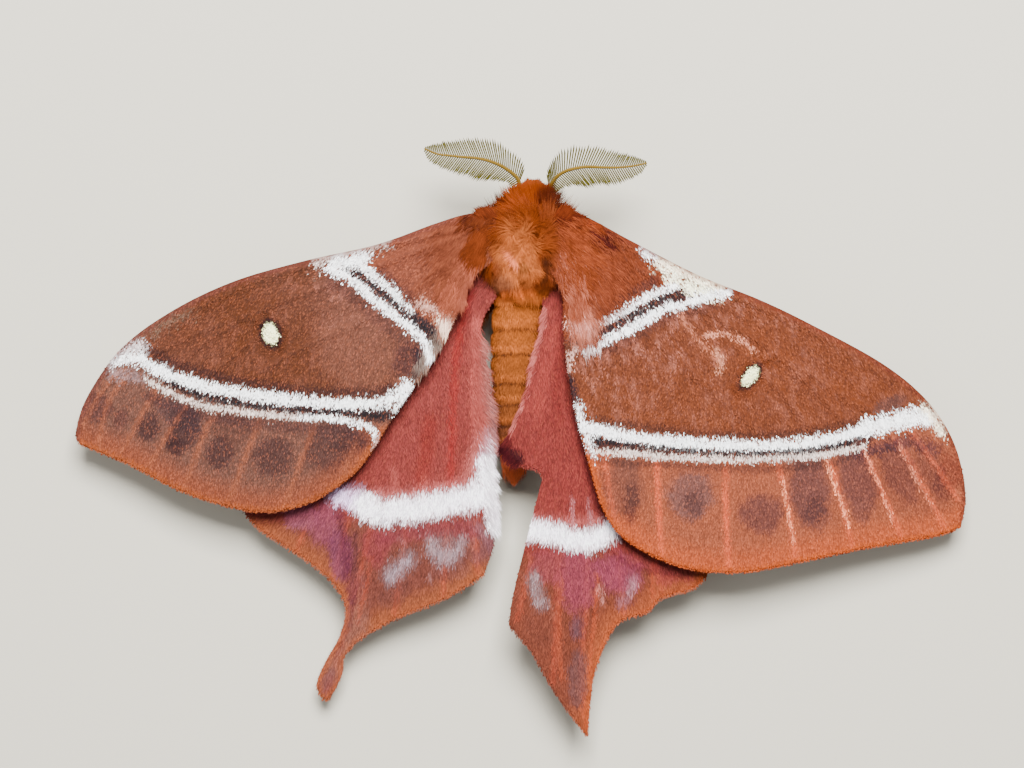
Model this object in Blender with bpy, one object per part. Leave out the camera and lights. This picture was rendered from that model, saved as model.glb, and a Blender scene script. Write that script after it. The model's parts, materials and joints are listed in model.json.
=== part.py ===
"""An emperor moth with short hindwing tails, wings spread flat, as solids for a life-size model.

Named sizes are in millimetres and are scaled to metres where each mesh is made.
The head points along +Y, the wings spread along X, and the feet stand on z = 0.
"""
import math
import random

import bmesh
import bpy
from mathutils import Matrix, Vector
from mathutils.geometry import delaunay_2d_cdt, intersect_point_line

MM = 0.001
GAP = 0.3
COLLECTION = "emperor_moth"

# Wings: each lies on a shallow sheet that droops towards its tip and towards its rear edge.
WING_THICKNESS = 0.5
VEIN_RISE = 0.25
VEIN_DROP = 0.1
VEIN_HALF_WIDTH = 0.55
VEIN_STEP = 2.8
FLANK_MARGIN = 0.45
EDGE_STEP = 2.1
FILL_STEP = 4.6
FILL_MARGIN = 1.6
HINGE_LEFT = (-5.3, 25.4)
HINGE_RIGHT = (6.3, 25.4)
SPAN_LEFT = (-0.906, -0.424)
SPAN_RIGHT = (0.811, -0.584)
CAMBER_START = -7.0
CAMBER_CHORD = 34.0

# Sheet of each wing: hinge point, span direction, hinge height, droop at the tip, its span,
# fall per millimetre towards the rear, and camber.
FORE_LEFT_SHEET = (HINGE_LEFT, SPAN_LEFT, 11.0, 6.0, 53.0, 0.07, 0.8)
FORE_RIGHT_SHEET = (HINGE_RIGHT, SPAN_RIGHT, 11.0, 6.0, 54.0, 0.01, 0.8)
HIND_LEFT_SHEET = (HINGE_LEFT, SPAN_LEFT, 9.5, 6.0, 53.0, 0.07, 0.0)
HIND_RIGHT_SHEET = (HINGE_RIGHT, SPAN_RIGHT, 9.5, 6.0, 54.0, 0.02, 0.0)

# Wing outlines from the photograph, in stretches that meet at corners.
FORE_LEFT_EDGE = (
    ((-3.0, 27.2), (-6.2, 27.4), (-10.4, 26.2), (-17.7, 23.6), (-26.5, 21.7), (-35.3, 19.3), (-43.0, 15.8),
     (-49.4, 11.3), (-53.8, 5.3), (-55.2, 0.9), (-54.6, -0.4)),
    ((-54.6, -0.4), (-48.1, -3.1), (-42.7, -5.9), (-37.1, -7.9), (-31.5, -8.9), (-26.5, -8.0), (-22.4, -5.8),
     (-19.3, -3.0), (-15.3, 3.0), (-11.8, 8.1), (-9.4, 12.0), (-7.5, 15.6), (-6.2, 19.2), (-3.0, 21.8)),
)
FORE_RIGHT_EDGE = (
    ((4.0, 27.3), (7.3, 27.3), (13.6, 24.0), (21.7, 19.9), (29.2, 17.0), (35.7, 14.0), (44.7, 9.3),
     (50.3, 4.8), (53.7, -0.4), (55.1, -6.5), (54.5, -10.6)),
    ((54.5, -10.6), (51.4, -11.7), (42.3, -13.3), (35.2, -14.8), (26.8, -16.3), (19.5, -15.6), (13.1, -12.6),
     (10.1, -8.9), (8.0, -2.2), (6.6, 3.2), (5.6, 8.9), (5.2, 13.4), (5.0, 17.5), (3.0, 21.0)),
)
HIND_LEFT_EDGE = (
    ((-3.0, 22.8), (-8.0, 19.0), (-13.6, 14.9), (-19.8, 9.2), (-27.6, 2.3), (-32.9, -3.0), (-34.5, -7.0),
     (-34.3, -8.5), (-32.1, -11.0), (-27.0, -14.3), (-23.2, -17.4), (-21.6, -20.5), (-22.3, -24.0),
     (-24.1, -27.2), (-25.2, -30.1), (-23.9, -31.8), (-22.1, -28.8), (-21.7, -26.4), (-19.2, -24.0),
     (-14.8, -21.6), (-9.3, -19.4), (-4.6, -16.6)),
    ((-4.6, -16.6), (-3.3, -12.3), (-3.2, -6.2), (-3.7, -1.9), (-3.9, 2.4), (-4.5, 7.3), (-5.0, 12.2),
     (-4.6, 15.0), (-3.0, 17.6)),
)
HIND_RIGHT_EDGE = (
    ((4.0, 22.8), (8.0, 18.6), (12.5, 13.5), (17.0, 6.0), (21.4, -1.5), (24.0, -8.3), (24.3, -13.2),
     (23.1, -16.1), (21.2, -18.1), (17.2, -19.3), (15.4, -21.1), (11.8, -22.5), (9.2, -27.7), (8.4, -32.3),
     (8.1, -36.2)),
    ((8.1, -36.2), (4.3, -31.1), (1.3, -26.0), (-1.5, -22.6)),
    ((-1.5, -22.6), (-0.9, -18.8), (0.8, -11.9), (2.2, -6.5), (2.7, -4.6)),
    ((2.7, -4.6), (1.6, -3.6), (-0.4, -3.2), (-2.2, -1.3), (-1.3, 1.0), (0.8, 6.2), (1.5, 9.9), (2.7, 14.4),
     (2.6, 17.6)),
)

# Main veins, from the root or the end of the cell to the edge.
FORE_LEFT_VEINS = (
    ((-6.9, 26.0), (-19.7, 22.7), (-33.3, 19.1), (-44.0, 14.2)),
    ((-6.9, 25.2), (-19.7, 20.3), (-33.3, 15.5), (-44.5, 11.0), (-50.6, 5.5), (-52.3, -0.8)),
    ((-44.5, 11.0), (-50.6, 7.6), (-54.2, 2.2)),
    ((-6.9, 23.6), (-14.8, 16.8), (-28.3, 10.5), (-33.8, 6.6), (-38.0, 2.6), (-41.3, -5.8)),
    ((-33.3, 15.5), (-39.5, 11.5), (-44.5, 6.6), (-49.6, -1.8)),
    ((-33.3, 15.5), (-31.0, 13.3), (-28.3, 10.5)),
    ((-31.0, 13.3), (-37.6, 8.5), (-41.3, 4.0), (-46.0, -3.3)),
    ((-28.3, 10.5), (-30.7, 5.3), (-32.5, 1.1), (-35.9, -7.6)),
    ((-20.9, 13.7), (-23.6, 5.9), (-25.2, 1.6), (-28.9, -7.9)),
    ((-7.9, 20.6), (-13.6, 11.9), (-17.8, 4.6), (-22.0, -5.0)),
)
FORE_RIGHT_VEINS = (
    ((7.9, 26.2), (21.9, 19.1), (34.3, 14.1), (45.6, 7.6)),
    ((7.9, 25.2), (20.7, 16.8), (31.1, 10.8), (40.4, 4.8), (46.4, -0.3), (52.4, -10.7)),
    ((40.4, 4.8), (47.5, 1.5), (54.0, -7.0)),
    ((7.9, 23.4), (15.7, 12.5), (24.9, 4.8), (29.8, -0.2), (32.0, -5.3), (33.6, -14.5)),
    ((31.1, 10.8), (37.9, 4.2), (42.0, -1.3), (46.9, -11.8)),
    ((31.1, 10.8), (28.9, 8.6), (24.9, 4.8)),
    ((28.9, 8.6), (34.4, 2.9), (38.0, -3.3), (40.7, -13.1)),
    ((24.9, 4.8), (25.3, -0.3), (24.9, -6.3), (25.3, -15.6)),
    ((19.7, 9.2), (17.9, 3.3), (16.7, -3.1), (17.1, -14.0)),
    ((7.6, 20.6), (8.4, 10.6), (9.6, 0.9), (11.3, -9.9)),
)
HIND_LEFT_VEINS = (
    ((-6.3, 19.4), (-12.4, 13.9), (-21.0, 4.9), (-33.0, -8.9)),
    ((-12.4, 13.9), (-14.9, 10.9), (-20.4, 2.4), (-27.7, -13.4)),
    ((-14.9, 10.9), (-15.1, 9.7), (-14.9, 8.3)),
    ((-15.1, 9.7), (-18.3, 1.2), (-23.0, -16.7)),
    ((-6.0, 18.4), (-10.0, 12.4), (-14.9, 8.3), (-16.1, -1.3), (-20.4, -18.6), (-22.0, -24.6), (-23.9, -30.6)),
    ((-14.9, 8.3), (-13.4, -3.7), (-15.5, -21.2)),
    ((-10.0, 12.4), (-8.7, -1.3), (-9.5, -18.9)),
    ((-5.8, 17.0), (-5.9, 2.4), (-5.3, -16.3)),
)
HIND_RIGHT_VEINS = (
    ((6.9, 19.0), (8.4, 14.0), (12.1, 5.4), (17.7, -5.0), (22.0, -16.3)),
    ((8.4, 10.9), (8.5, 6.6), (14.0, -3.8), (17.2, -18.6)),
    ((8.4, 14.0), (8.4, 10.9)),
    ((8.5, 6.6), (7.8, 4.7), (6.7, 3.5)),
    ((7.8, 4.7), (10.9, -6.3), (12.5, -21.2)),
    ((4.9, 17.6), (4.6, 12.0), (5.2, 6.8), (6.7, 3.5), (7.8, -7.5), (8.0, -19.7), (7.4, -27.0), (7.9, -34.9)),
    ((5.2, 6.8), (5.0, -7.5), (4.4, -19.7), (3.9, -29.6)),
    ((3.3, 15.6), (2.9, 3.3), (3.0, -4.0), (1.1, -14.8), (-0.5, -21.9)),
)

# Body.
THORAX_CENTRE = (0.6, 22.8, 8.5)
THORAX_CORE = (4.9, 5.6, 4.4)
# Coat of the thorax: azimuth and elevation in degrees of each row of locks, how many, their length
# and the way they lie. An azimuth of 90 is towards the head.
THORAX_LOCK_ROWS = (
    ((45, 135), (34, 46), 7, 3.4, (0.35, 0.9, -0.1)),
    ((55, 125), (58, 66), 4, 3.4, (0.3, 0.8, 0.0)),
    ((40, 140), (76, 84), 3, 4.4, (0.25, -1.0, 0.0)),
    ((4, 44), (26, 62), 5, 5.2, (0.45, -0.95, -0.1)),
    ((136, 176), (26, 62), 5, 5.2, (0.45, -0.95, -0.1)),
    ((-42, 2), (38, 60), 4, 5.2, (0.3, -1.0, -0.1)),
    ((178, 222), (38, 60), 4, 5.2, (0.3, -1.0, -0.1)),
    ((-130, -50), (56, 76), 5, 4.6, (0.15, -1.0, 0.0)),
    ((-130, -50), (24, 40), 6, 4.4, (0.2, -1.0, -0.1)),
    ((24, 72), (-10, 10), 3, 3.4, (0.6, 0.8, -0.1)),
    ((108, 156), (-10, 10), 3, 3.4, (0.6, 0.8, -0.1)),
    ((-45, 20), (-34, -14), 4, 4.4, (0.35, -0.9, -0.3)),
    ((160, 225), (-34, -14), 4, 4.4, (0.35, -0.9, -0.3)),
    ((60, 120), (-40, -24), 2, 3.2, (0.2, 0.5, -0.6)),
    ((-120, -60), (-60, -40), 2, 3.4, (0.1, -1.0, 0.0)),
)
HEAD_LOCK_ROWS = (
    ((-160, -20), (38, 50), 4, 2.6, (0.4, 0.9, 0.0)),
    ((35, 145), (54, 64), 5, 2.4, (0.35, 1.0, 0.0)),
    ((58, 122), (22, 34), 4, 2.0, (0.3, 0.9, -0.3)),
    ((62, 118), (-14, -4), 3, 1.9, (0.2, 0.4, -1.0)),
    ((-150, -30), (-50, -40), 2, 2.2, (0.3, 0.6, -0.4)),
)
HEAD_LOCK_HALF_WIDTH = 0.68
LOCK_HALF_WIDTH = 1.25
LOCK_HALF_THICKNESS = 0.34
LOCK_SUNK = 0.75
HEAD_LOCK_SUNK = 0.6
LOCK_RISE = 0.42
LOCK_BEND = 0.5
# Outline of a lock along its length: share of the length, of the width and of the thickness.
LOCK_FORM = ((0.0, 0.8, 1.0), (0.42, 1.0, 0.95), (0.78, 0.6, 0.7), (1.0, 0.12, 0.25))
CLEARANCE_REACH = 12.0
SEED = 7
HEAD_CENTRE = (1.5, 29.9, 7.2)
HEAD_SIZE = (2.4, 2.3, 2.3)
EYE_OFFSET = (1.75, 0.75, -0.45)
EYE_RADIUS = 1.15
PALP_OFFSET = (0.55, 2.1, -1.1)
PALP_SIZE = (0.45, 0.9, 0.5)

# Abdomen: axis points with the half-width at each, and the rings between segments along the axis.
ABDOMEN_AXIS = (
    (0.2, 18.6, 6.6), (-0.2, 16.0, 6.2), (-0.5, 12.0, 5.5), (-0.7, 7.5, 4.9), (-0.8, 3.0, 4.3),
    (-0.8, -0.6, 3.8), (-0.8, -3.4, 3.4), (-0.8, -5.2, 3.2),
)
ABDOMEN_HALF_WIDTH = (2.9, 3.4, 3.35, 3.1, 2.7, 2.1, 1.5, 0.55)
ABDOMEN_FLATTEN = 0.92
ABDOMEN_RINGS = (16.8, 13.6, 10.6, 7.0, 4.4, 1.8, -0.7)
RING_DEPTH = 0.28
RING_HALF_WIDTH = 0.5
ABDOMEN_SIDES = 14
TAIL_TUFT_COUNT = 7
TAIL_TUFT_AT = (-0.8, -3.9, 3.3)
TAIL_TUFT_RADIUS = 1.0
TAIL_TUFT_LENGTH = 3.0

# Antennae: the shaft from the head to the tip, and rami in two rows.
ANTENNA_LEFT = (
    (-0.1, 31.3, 8.1), (-0.5, 32.4, 8.8), (-2.1, 33.5, 9.8), (-3.8, 34.1, 10.6), (-5.5, 34.4, 11.1),
    (-7.2, 34.5, 11.3), (-9.0, 34.7, 11.3), (-10.3, 34.9, 11.2), (-11.9, 35.6, 11.0),
)
ANTENNA_RIGHT = (
    (3.1, 30.9, 8.0), (3.8, 31.6, 8.8), (4.4, 32.3, 9.6), (5.2, 32.8, 10.2), (6.3, 33.1, 10.7),
    (8.1, 33.3, 11.2), (10.1, 33.2, 11.3), (11.9, 33.2, 11.3), (13.8, 33.4, 11.2), (15.5, 33.8, 11.0),
)
SHAFT_ROOT_RADIUS = 0.42
SHAFT_TIP_RADIUS = 0.26
RAMUS_LENGTH = ((0.0, 0.6), (0.12, 2.0), (0.3, 2.8), (0.55, 2.4), (0.75, 1.8), (0.9, 1.1), (1.0, 0.5))
REAR_ROW_GROWTH = 1.25
RAMUS_COUNT = 15
RAMUS_FIRST = 0.14
RAMUS_LAST = 0.98
RAMUS_HALF_THICKNESS = 0.24
RAMUS_FORM = ((0.0, 1.0), (0.55, 0.9), (1.0, 0.3))
FRONT_LEAN = 62
REAR_LEAN = 48
RAMUS_CURL = 0.12

# Legs: root, knee, ankle and two points of the foot, on the left; the right legs mirror them.
LEG_MIRROR_X = 0.6
LEG_PATHS = {
    "leg_front": ((-1.6, 25.8, 5.6), (-4.6, 26.4, 4.2), (-8.2, 25.0, 5.2), (-10.0, 24.0, 0.75),
                  (-10.9, 24.0, 0.3), (-12.6, 24.3, 0.3)),
    "leg_middle": ((-2.0, 22.4, 5.2), (-5.0, 20.6, 4.0), (-10.4, 17.0, 5.4), (-12.6, 14.2, 0.8),
                   (-13.2, 13.4, 0.3), (-14.6, 12.0, 0.3)),
    "leg_hind": ((-1.6, 19.4, 5.4), (-5.6, 15.0, 3.4), (-9.0, 6.4, 4.4), (-9.8, -0.6, 0.8),
                 (-9.9, -1.8, 0.3), (-10.4, -4.2, 0.3)),
}
LEG_RADII = (0.95, 0.85, 0.65, 0.5, 0.45, 0.42)

COLOURS = {
    "thorax": (0.50, 0.22, 0.09),
    "abdomen": (0.46, 0.20, 0.09),
    "head": (0.30, 0.11, 0.03),
    "eye": (0.02, 0.015, 0.012),
    "antenna": (0.30, 0.20, 0.06),
    "fore": (0.34, 0.15, 0.09),
    "hind": (0.40, 0.14, 0.10),
    "leg": (0.26, 0.11, 0.05),
}


def clear_scene():
    for obj in list(bpy.data.objects):
        bpy.data.objects.remove(obj, do_unlink=True)


def new_collection(name):
    group = bpy.data.collections.new(name)
    bpy.context.scene.collection.children.link(group)
    return group


def spline(points, step):
    """Points about a step apart along a smooth curve through the given points."""
    pts = [Vector(p) for p in points]
    pts = [2 * pts[0] - pts[1]] + pts + [2 * pts[-1] - pts[-2]]
    out = []
    for a, b, c, d in zip(pts, pts[1:], pts[2:], pts[3:]):
        count = max(1, round((c - b).length / step))
        for k in range(count):
            t = k / count
            out.append(0.5 * (2 * b + t * (c - a) + t * t * (2 * a - 5 * b + 4 * c - d)
                              + t ** 3 * (3 * b - a - 3 * c + d)))
    out.append(pts[-2].copy())
    return out


def polyline_distance(point, line):
    best = 1e9
    for a, b in zip(line, line[1:]):
        hit, share = intersect_point_line(point, a, b)
        if share < 0:
            hit = a.to_3d()
        if share > 1:
            hit = b.to_3d()
        best = min(best, (hit.to_2d() - point).length)
    return best


def inside(point, ring):
    crossed = False
    for a, b in zip(ring, ring[1:] + ring[:1]):
        if (a.y > point.y) != (b.y > point.y):
            if point.x < a.x + (point.y - a.y) * (b.x - a.x) / (b.y - a.y):
                crossed = not crossed
    return crossed


def sheet_height(sheet, x, y):
    hinge, span, height, droop, reach, fall, camber = sheet
    dx = x - hinge[0]
    dy = y - hinge[1]
    side = math.copysign(1, span[0])
    along = dx * span[0] + dy * span[1]
    rear = side * (dx * span[1] - dy * span[0])
    share = (rear - CAMBER_START) / CAMBER_CHORD
    return height - droop * (along / reach) ** 2 - fall * rear + camber * 4 * share * (1 - share)


def outline_points(stretches, step):
    ring = []
    for stretch in stretches:
        ring += spline(stretch, step)[:-1]
    ring.append(Vector(stretches[-1][-1]))
    return ring


def make_object(name, verts, faces, group):
    """A closed mesh from millimetre points, with its faces turned outwards."""
    mesh = bpy.data.meshes.new(name)
    mesh.from_pydata([Vector(v) * MM for v in verts], [], faces)
    return finish_object(name, mesh, group)


def finish_object(name, mesh, group):
    bm = bmesh.new()
    bm.from_mesh(mesh)
    bmesh.ops.recalc_face_normals(bm, faces=bm.faces)
    bm.to_mesh(mesh)
    bm.free()
    obj = bpy.data.objects.new(name, mesh)
    group.objects.link(obj)
    return obj


def wing_mesh(name, stretches, veins, sheet, group):
    """Membrane whose two faces share one triangulation, raised along the veins."""
    ring = outline_points(stretches, EDGE_STEP)
    points = list(ring)
    edges = []
    lines = [spline(vein, VEIN_STEP) for vein in veins]
    keep_off_edge = ring + ring[:1]
    centre_index = set()
    for line in lines:
        last = None
        for p in line:
            found = [i for i in centre_index if (points[i] - p).length < 1e-3]
            if found:
                index = found[0]
            else:
                index = len(points)
                points.append(p)
                centre_index.add(index)
            if last is not None:
                edges.append((last, index))
            last = index
    for line in lines:
        for hand in (-1, 1):
            last = None
            for i, p in enumerate(line):
                along = (line[min(i + 1, len(line) - 1)] - line[max(i - 1, 0)]).normalized()
                p = p + hand * along.orthogonal() * VEIN_HALF_WIDTH
                near_vein = min(polyline_distance(p, other) for other in lines)
                clear = near_vein > 0.9 * VEIN_HALF_WIDTH and inside(p, ring)
                clear = clear and polyline_distance(p, keep_off_edge) > FLANK_MARGIN
                if clear and min((p - q).length for q in points[len(ring):]) > FLANK_MARGIN:
                    points.append(p)
                    if last is not None:
                        edges.append((last, len(points) - 1))
                    last = len(points) - 1
                else:
                    last = None
    low = [min(p[i] for p in ring) for i in (0, 1)]
    high = [max(p[i] for p in ring) for i in (0, 1)]
    rows = int((high[1] - low[1]) / FILL_STEP) + 1
    columns = int((high[0] - low[0]) / FILL_STEP) + 1
    for row in range(rows):
        for column in range(columns):
            p = Vector((low[0] + (column + 0.5 * (row % 2)) * FILL_STEP, low[1] + row * FILL_STEP))
            if inside(p, ring) and min((p - q).length for q in points) > FILL_MARGIN:
                points.append(p)
    rim = list(range(len(ring)))
    flat, _, tris, _, _, _ = delaunay_2d_cdt(points, edges, [rim], 1, 1e-4)
    rise = [1 - min(polyline_distance(p, line) for line in lines) / VEIN_HALF_WIDTH for p in flat]
    top = []
    under = []
    for p, r in zip(flat, rise):
        z = sheet_height(sheet, p.x, p.y)
        top.append((p.x, p.y, z + WING_THICKNESS / 2 + VEIN_RISE * max(0, r)))
        under.append((p.x, p.y, z - WING_THICKNESS / 2 - VEIN_DROP * max(0, r)))
    count = len(flat)
    faces = [tuple(t) for t in tris] + [tuple(i + count for i in reversed(t)) for t in tris]
    border = {}
    for t in tris:
        for a, b in zip(t, t[1:] + t[:1]):
            border[(a, b)] = True
    for a, b in list(border):
        if (b, a) not in border:
            faces.append((b, a, a + count))
            faces.append((b, a + count, b + count))
    return make_object(name, top + under, faces, group)


def ellipsoid(name, centre, size, group, grow=0.0, across=16, rings=10):
    mesh = bpy.data.meshes.new(name)
    bm = bmesh.new()
    scale = Matrix.Diagonal([(s + grow) * MM for s in size] + [1])
    place = Matrix.Translation(Vector(centre) * MM) @ scale
    bmesh.ops.create_uvsphere(bm, u_segments=across, v_segments=rings, radius=1, matrix=place)
    bm.to_mesh(mesh)
    bm.free()
    return finish_object(name, mesh, group)


def ring_loft(name, rings, group):
    """Closed tube through rings of equal count, with a flat end on each side."""
    count = len(rings[0])
    verts = [p for ring in rings for p in ring]
    faces = []
    for r in range(len(rings) - 1):
        for k in range(count):
            a = r * count + k
            b = r * count + (k + 1) % count
            faces.append((a, b, b + count, a + count))
    faces.append(tuple(range(count)))
    faces.append(tuple(range(len(verts) - count, len(verts))))
    return make_object(name, verts, faces, group)


def tube(name, path, radii, group, sides=8, step=1.0, flatten=1.0):
    """Tapered tube along a smooth path; radii follow the path's points."""
    lengths = [0]
    for a, b in zip(path, path[1:]):
        lengths.append(lengths[-1] + (Vector(b) - Vector(a)).length)
    line = spline(path, step)
    walked = [0]
    for a, b in zip(line, line[1:]):
        walked.append(walked[-1] + (b - a).length)
    rings = []
    for i, p in enumerate(line):
        along = walked[i] / walked[-1] * lengths[-1]
        radius = profile(tuple(zip(lengths, radii)), along)
        ahead = (line[min(i + 1, len(line) - 1)] - line[max(i - 1, 0)]).normalized()
        across = ahead.cross(Vector((0, 0, 1))).normalized()
        up = across.cross(ahead)
        ring = []
        for k in range(sides):
            turn = 2 * math.pi * (k + 0.5) / sides
            ring.append(p + radius * (math.cos(turn) * across + flatten * math.sin(turn) * up))
        rings.append(ring)
    return ring_loft(name, rings, group)


def profile(pairs, at):
    if at <= pairs[0][0]:
        return pairs[0][1]
    for (a, va), (b, vb) in zip(pairs, pairs[1:]):
        if at <= b:
            return va + (vb - va) * (at - a) / (b - a)
    return pairs[-1][1]


def combine(obj, operation, tools, solver="MANIFOLD"):
    """Union or cut with other closed objects, applied at once; only the largest body stays."""
    group = new_collection("cutters_now")
    for tool in tools:
        for owner in list(tool.users_collection):
            owner.objects.unlink(tool)
        group.objects.link(tool)
    change = obj.modifiers.new("combine", "BOOLEAN")
    change.operation = operation
    change.solver = solver
    change.operand_type = "COLLECTION"
    change.collection = group
    graph = bpy.context.evaluated_depsgraph_get()
    mesh = bpy.data.meshes.new_from_object(obj.evaluated_get(graph))
    obj.modifiers.clear()
    old = obj.data
    obj.data = mesh
    bpy.data.meshes.remove(old)
    mesh.name = obj.name
    for tool in tools:
        bpy.data.objects.remove(tool, do_unlink=True)
    bpy.data.collections.remove(group)
    keep_largest(obj)


def keep_largest(obj):
    bm = bmesh.new()
    bm.from_mesh(obj.data)
    bmesh.ops.triangulate(bm, faces=bm.faces)
    left = set(bm.faces)
    best = []
    best_volume = -1.0
    while left:
        shell = [left.pop()]
        stack = list(shell)
        while stack:
            face = stack.pop()
            for edge in face.edges:
                for other in edge.link_faces:
                    if other in left:
                        left.discard(other)
                        shell.append(other)
                        stack.append(other)
        volume = sum(f.verts[0].co.dot(f.verts[1].co.cross(f.verts[2].co)) for f in shell)
        if volume > best_volume:
            best = shell
            best_volume = volume
    keep = set(best)
    bmesh.ops.delete(bm, geom=[f for f in bm.faces if f not in keep], context="FACES")
    bm.to_mesh(obj.data)
    bm.free()


def material(name, colour, roughness=0.85):
    mat = bpy.data.materials.new(name)
    mat.use_nodes = True
    shader = mat.node_tree.nodes["Principled BSDF"]
    shader.inputs["Base Color"].default_value = (*colour, 1)
    shader.inputs["Roughness"].default_value = roughness
    shader.inputs["Metallic"].default_value = 0.0
    return mat


def paint(obj, colour, roughness=0.85):
    obj.data.materials.clear()
    obj.data.materials.append(material(obj.name, colour, roughness))


def abdomen_stations():
    """Places along the axis: a groove's bottom and sides at each ring, and a middle between rings."""
    spots = [p[1] for p in ABDOMEN_AXIS]
    stops = {spots[0], spots[-1], spots[-2], (spots[-1] + spots[-2]) / 2}
    for ring in ABDOMEN_RINGS:
        stops |= {ring, ring - RING_HALF_WIDTH, ring + RING_HALF_WIDTH}
    for a, b in zip(ABDOMEN_RINGS, ABDOMEN_RINGS[1:]):
        stops.add((a + b) / 2)
    return sorted(stops, reverse=True)


def abdomen_shape(y):
    """Axis point and half-width at a place along the axis, without the grooves."""
    spots = [p[1] for p in ABDOMEN_AXIS]
    k = max(i for i in range(len(spots) - 1) if spots[i] >= y)
    share = (spots[k] - y) / (spots[k] - spots[k + 1])
    smooth = share * share * (3 - 2 * share)
    a = Vector(ABDOMEN_AXIS[k])
    b = Vector(ABDOMEN_AXIS[k + 1])
    wide = ABDOMEN_HALF_WIDTH[k] * (1 - smooth) + ABDOMEN_HALF_WIDTH[k + 1] * smooth
    return a.lerp(b, share), wide


def abdomen(name, group, grow=0.0):
    loops = []
    stations = abdomen_stations()
    for y in stations:
        centre, wide = abdomen_shape(y)
        groove = RING_DEPTH if y in ABDOMEN_RINGS and not grow else 0
        half = wide - groove + grow
        loop = []
        for k in range(ABDOMEN_SIDES):
            turn = 2 * math.pi * k / ABDOMEN_SIDES
            up = Vector((0, 0.12, 1)) * ABDOMEN_FLATTEN * math.sin(turn)
            loop.append(centre + half * (Vector((math.cos(turn), 0, 0)) + up))
        loops.append(loop)
    return ring_loft(name, loops, group)


def blade(name, root, way, out, length, half_width, half_thickness, form, bend, group):
    """Flat tapered form from a root point, lying along way and bending back towards the body."""
    way = way.normalized()
    across = way.cross(out).normalized()
    face = across.cross(way).normalized()
    rings = []
    for share, wide, thick in form:
        centre = root + way * length * share - face * bend * length * share * share
        w = across * half_width * wide
        t = face * half_thickness * thick
        rings.append([centre + w, centre + t, centre - w, centre - t])
    return ring_loft(name, rings, group)


def antenna(name, path, side, group):
    """Shaft with two rows of rami that lean towards its tip."""
    dice = random.Random(f"{SEED} {name}")
    radii = [SHAFT_ROOT_RADIUS + (SHAFT_TIP_RADIUS - SHAFT_ROOT_RADIUS) * i / (len(path) - 1)
             for i in range(len(path))]
    shaft = tube(name, path, radii, group, sides=6, step=1.1)
    line = spline(path, 0.25)
    rami = []
    for k in range(RAMUS_COUNT):
        share = RAMUS_FIRST + (RAMUS_LAST - RAMUS_FIRST) * k / (RAMUS_COUNT - 1)
        spot = min(int(share * (len(line) - 1)), len(line) - 2)
        ahead = (line[spot + 1] - line[spot]).normalized()
        front = side * ahead.cross(Vector((0, 0, 1))).normalized()
        for lean, row, growth in ((FRONT_LEAN, 1, 1.0), (REAR_LEAN, -1, REAR_ROW_GROWTH)):
            turn = math.radians(lean + dice.uniform(-2, 2))
            way = math.cos(turn) * ahead + row * math.sin(turn) * front
            length = profile(RAMUS_LENGTH, share) * growth * dice.uniform(0.95, 1.05)
            form = [(at, wide, wide) for at, wide in RAMUS_FORM]
            out = way.cross(ahead).normalized().cross(way)
            rami.append(blade("ramus", line[spot], way, -out, length, RAMUS_HALF_THICKNESS,
                              RAMUS_HALF_THICKNESS, form, RAMUS_CURL, group))
    combine(shaft, "UNION", rami)
    return shaft


def on_core(centre, size, azimuth, elevation):
    """Point of an ellipsoid and the outward direction there."""
    a = math.radians(azimuth)
    e = math.radians(elevation)
    way = Vector((math.cos(a) * math.cos(e), math.sin(a) * math.cos(e), math.sin(e)))
    return Vector(centre) + way * Vector(size), Vector([w / s for w, s in zip(way, size)]).normalized()


def coat_locks(rows, centre, size, half_width, sunk, group):
    """Overlapping locks in rows over an ellipsoid, alike on its left and right."""
    dice = random.Random(SEED)
    locks = []
    for azimuths, elevations, count, length, lie in rows:
        for k in range(count):
            azimuth = azimuths[0] + (azimuths[1] - azimuths[0]) * (k + 0.5) / count + dice.uniform(-3, 3)
            elevation = elevations[k % 2] + dice.uniform(-2, 2)
            root, out = on_core(centre, size, azimuth, elevation)
            sign = 1 if root.x > centre[0] else -1
            way = Vector((sign * lie[0], lie[1], lie[2]))
            way = (way - way.dot(out) * out).normalized()
            way = (way + LOCK_RISE * dice.uniform(0.85, 1.15) * out).normalized()
            locks.append(blade("lock", root - sunk * out, way, out, length * dice.uniform(0.9, 1.1),
                               half_width * dice.uniform(0.85, 1.15), LOCK_HALF_THICKNESS,
                               LOCK_FORM, LOCK_BEND * 0.3, group))
    return locks


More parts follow.
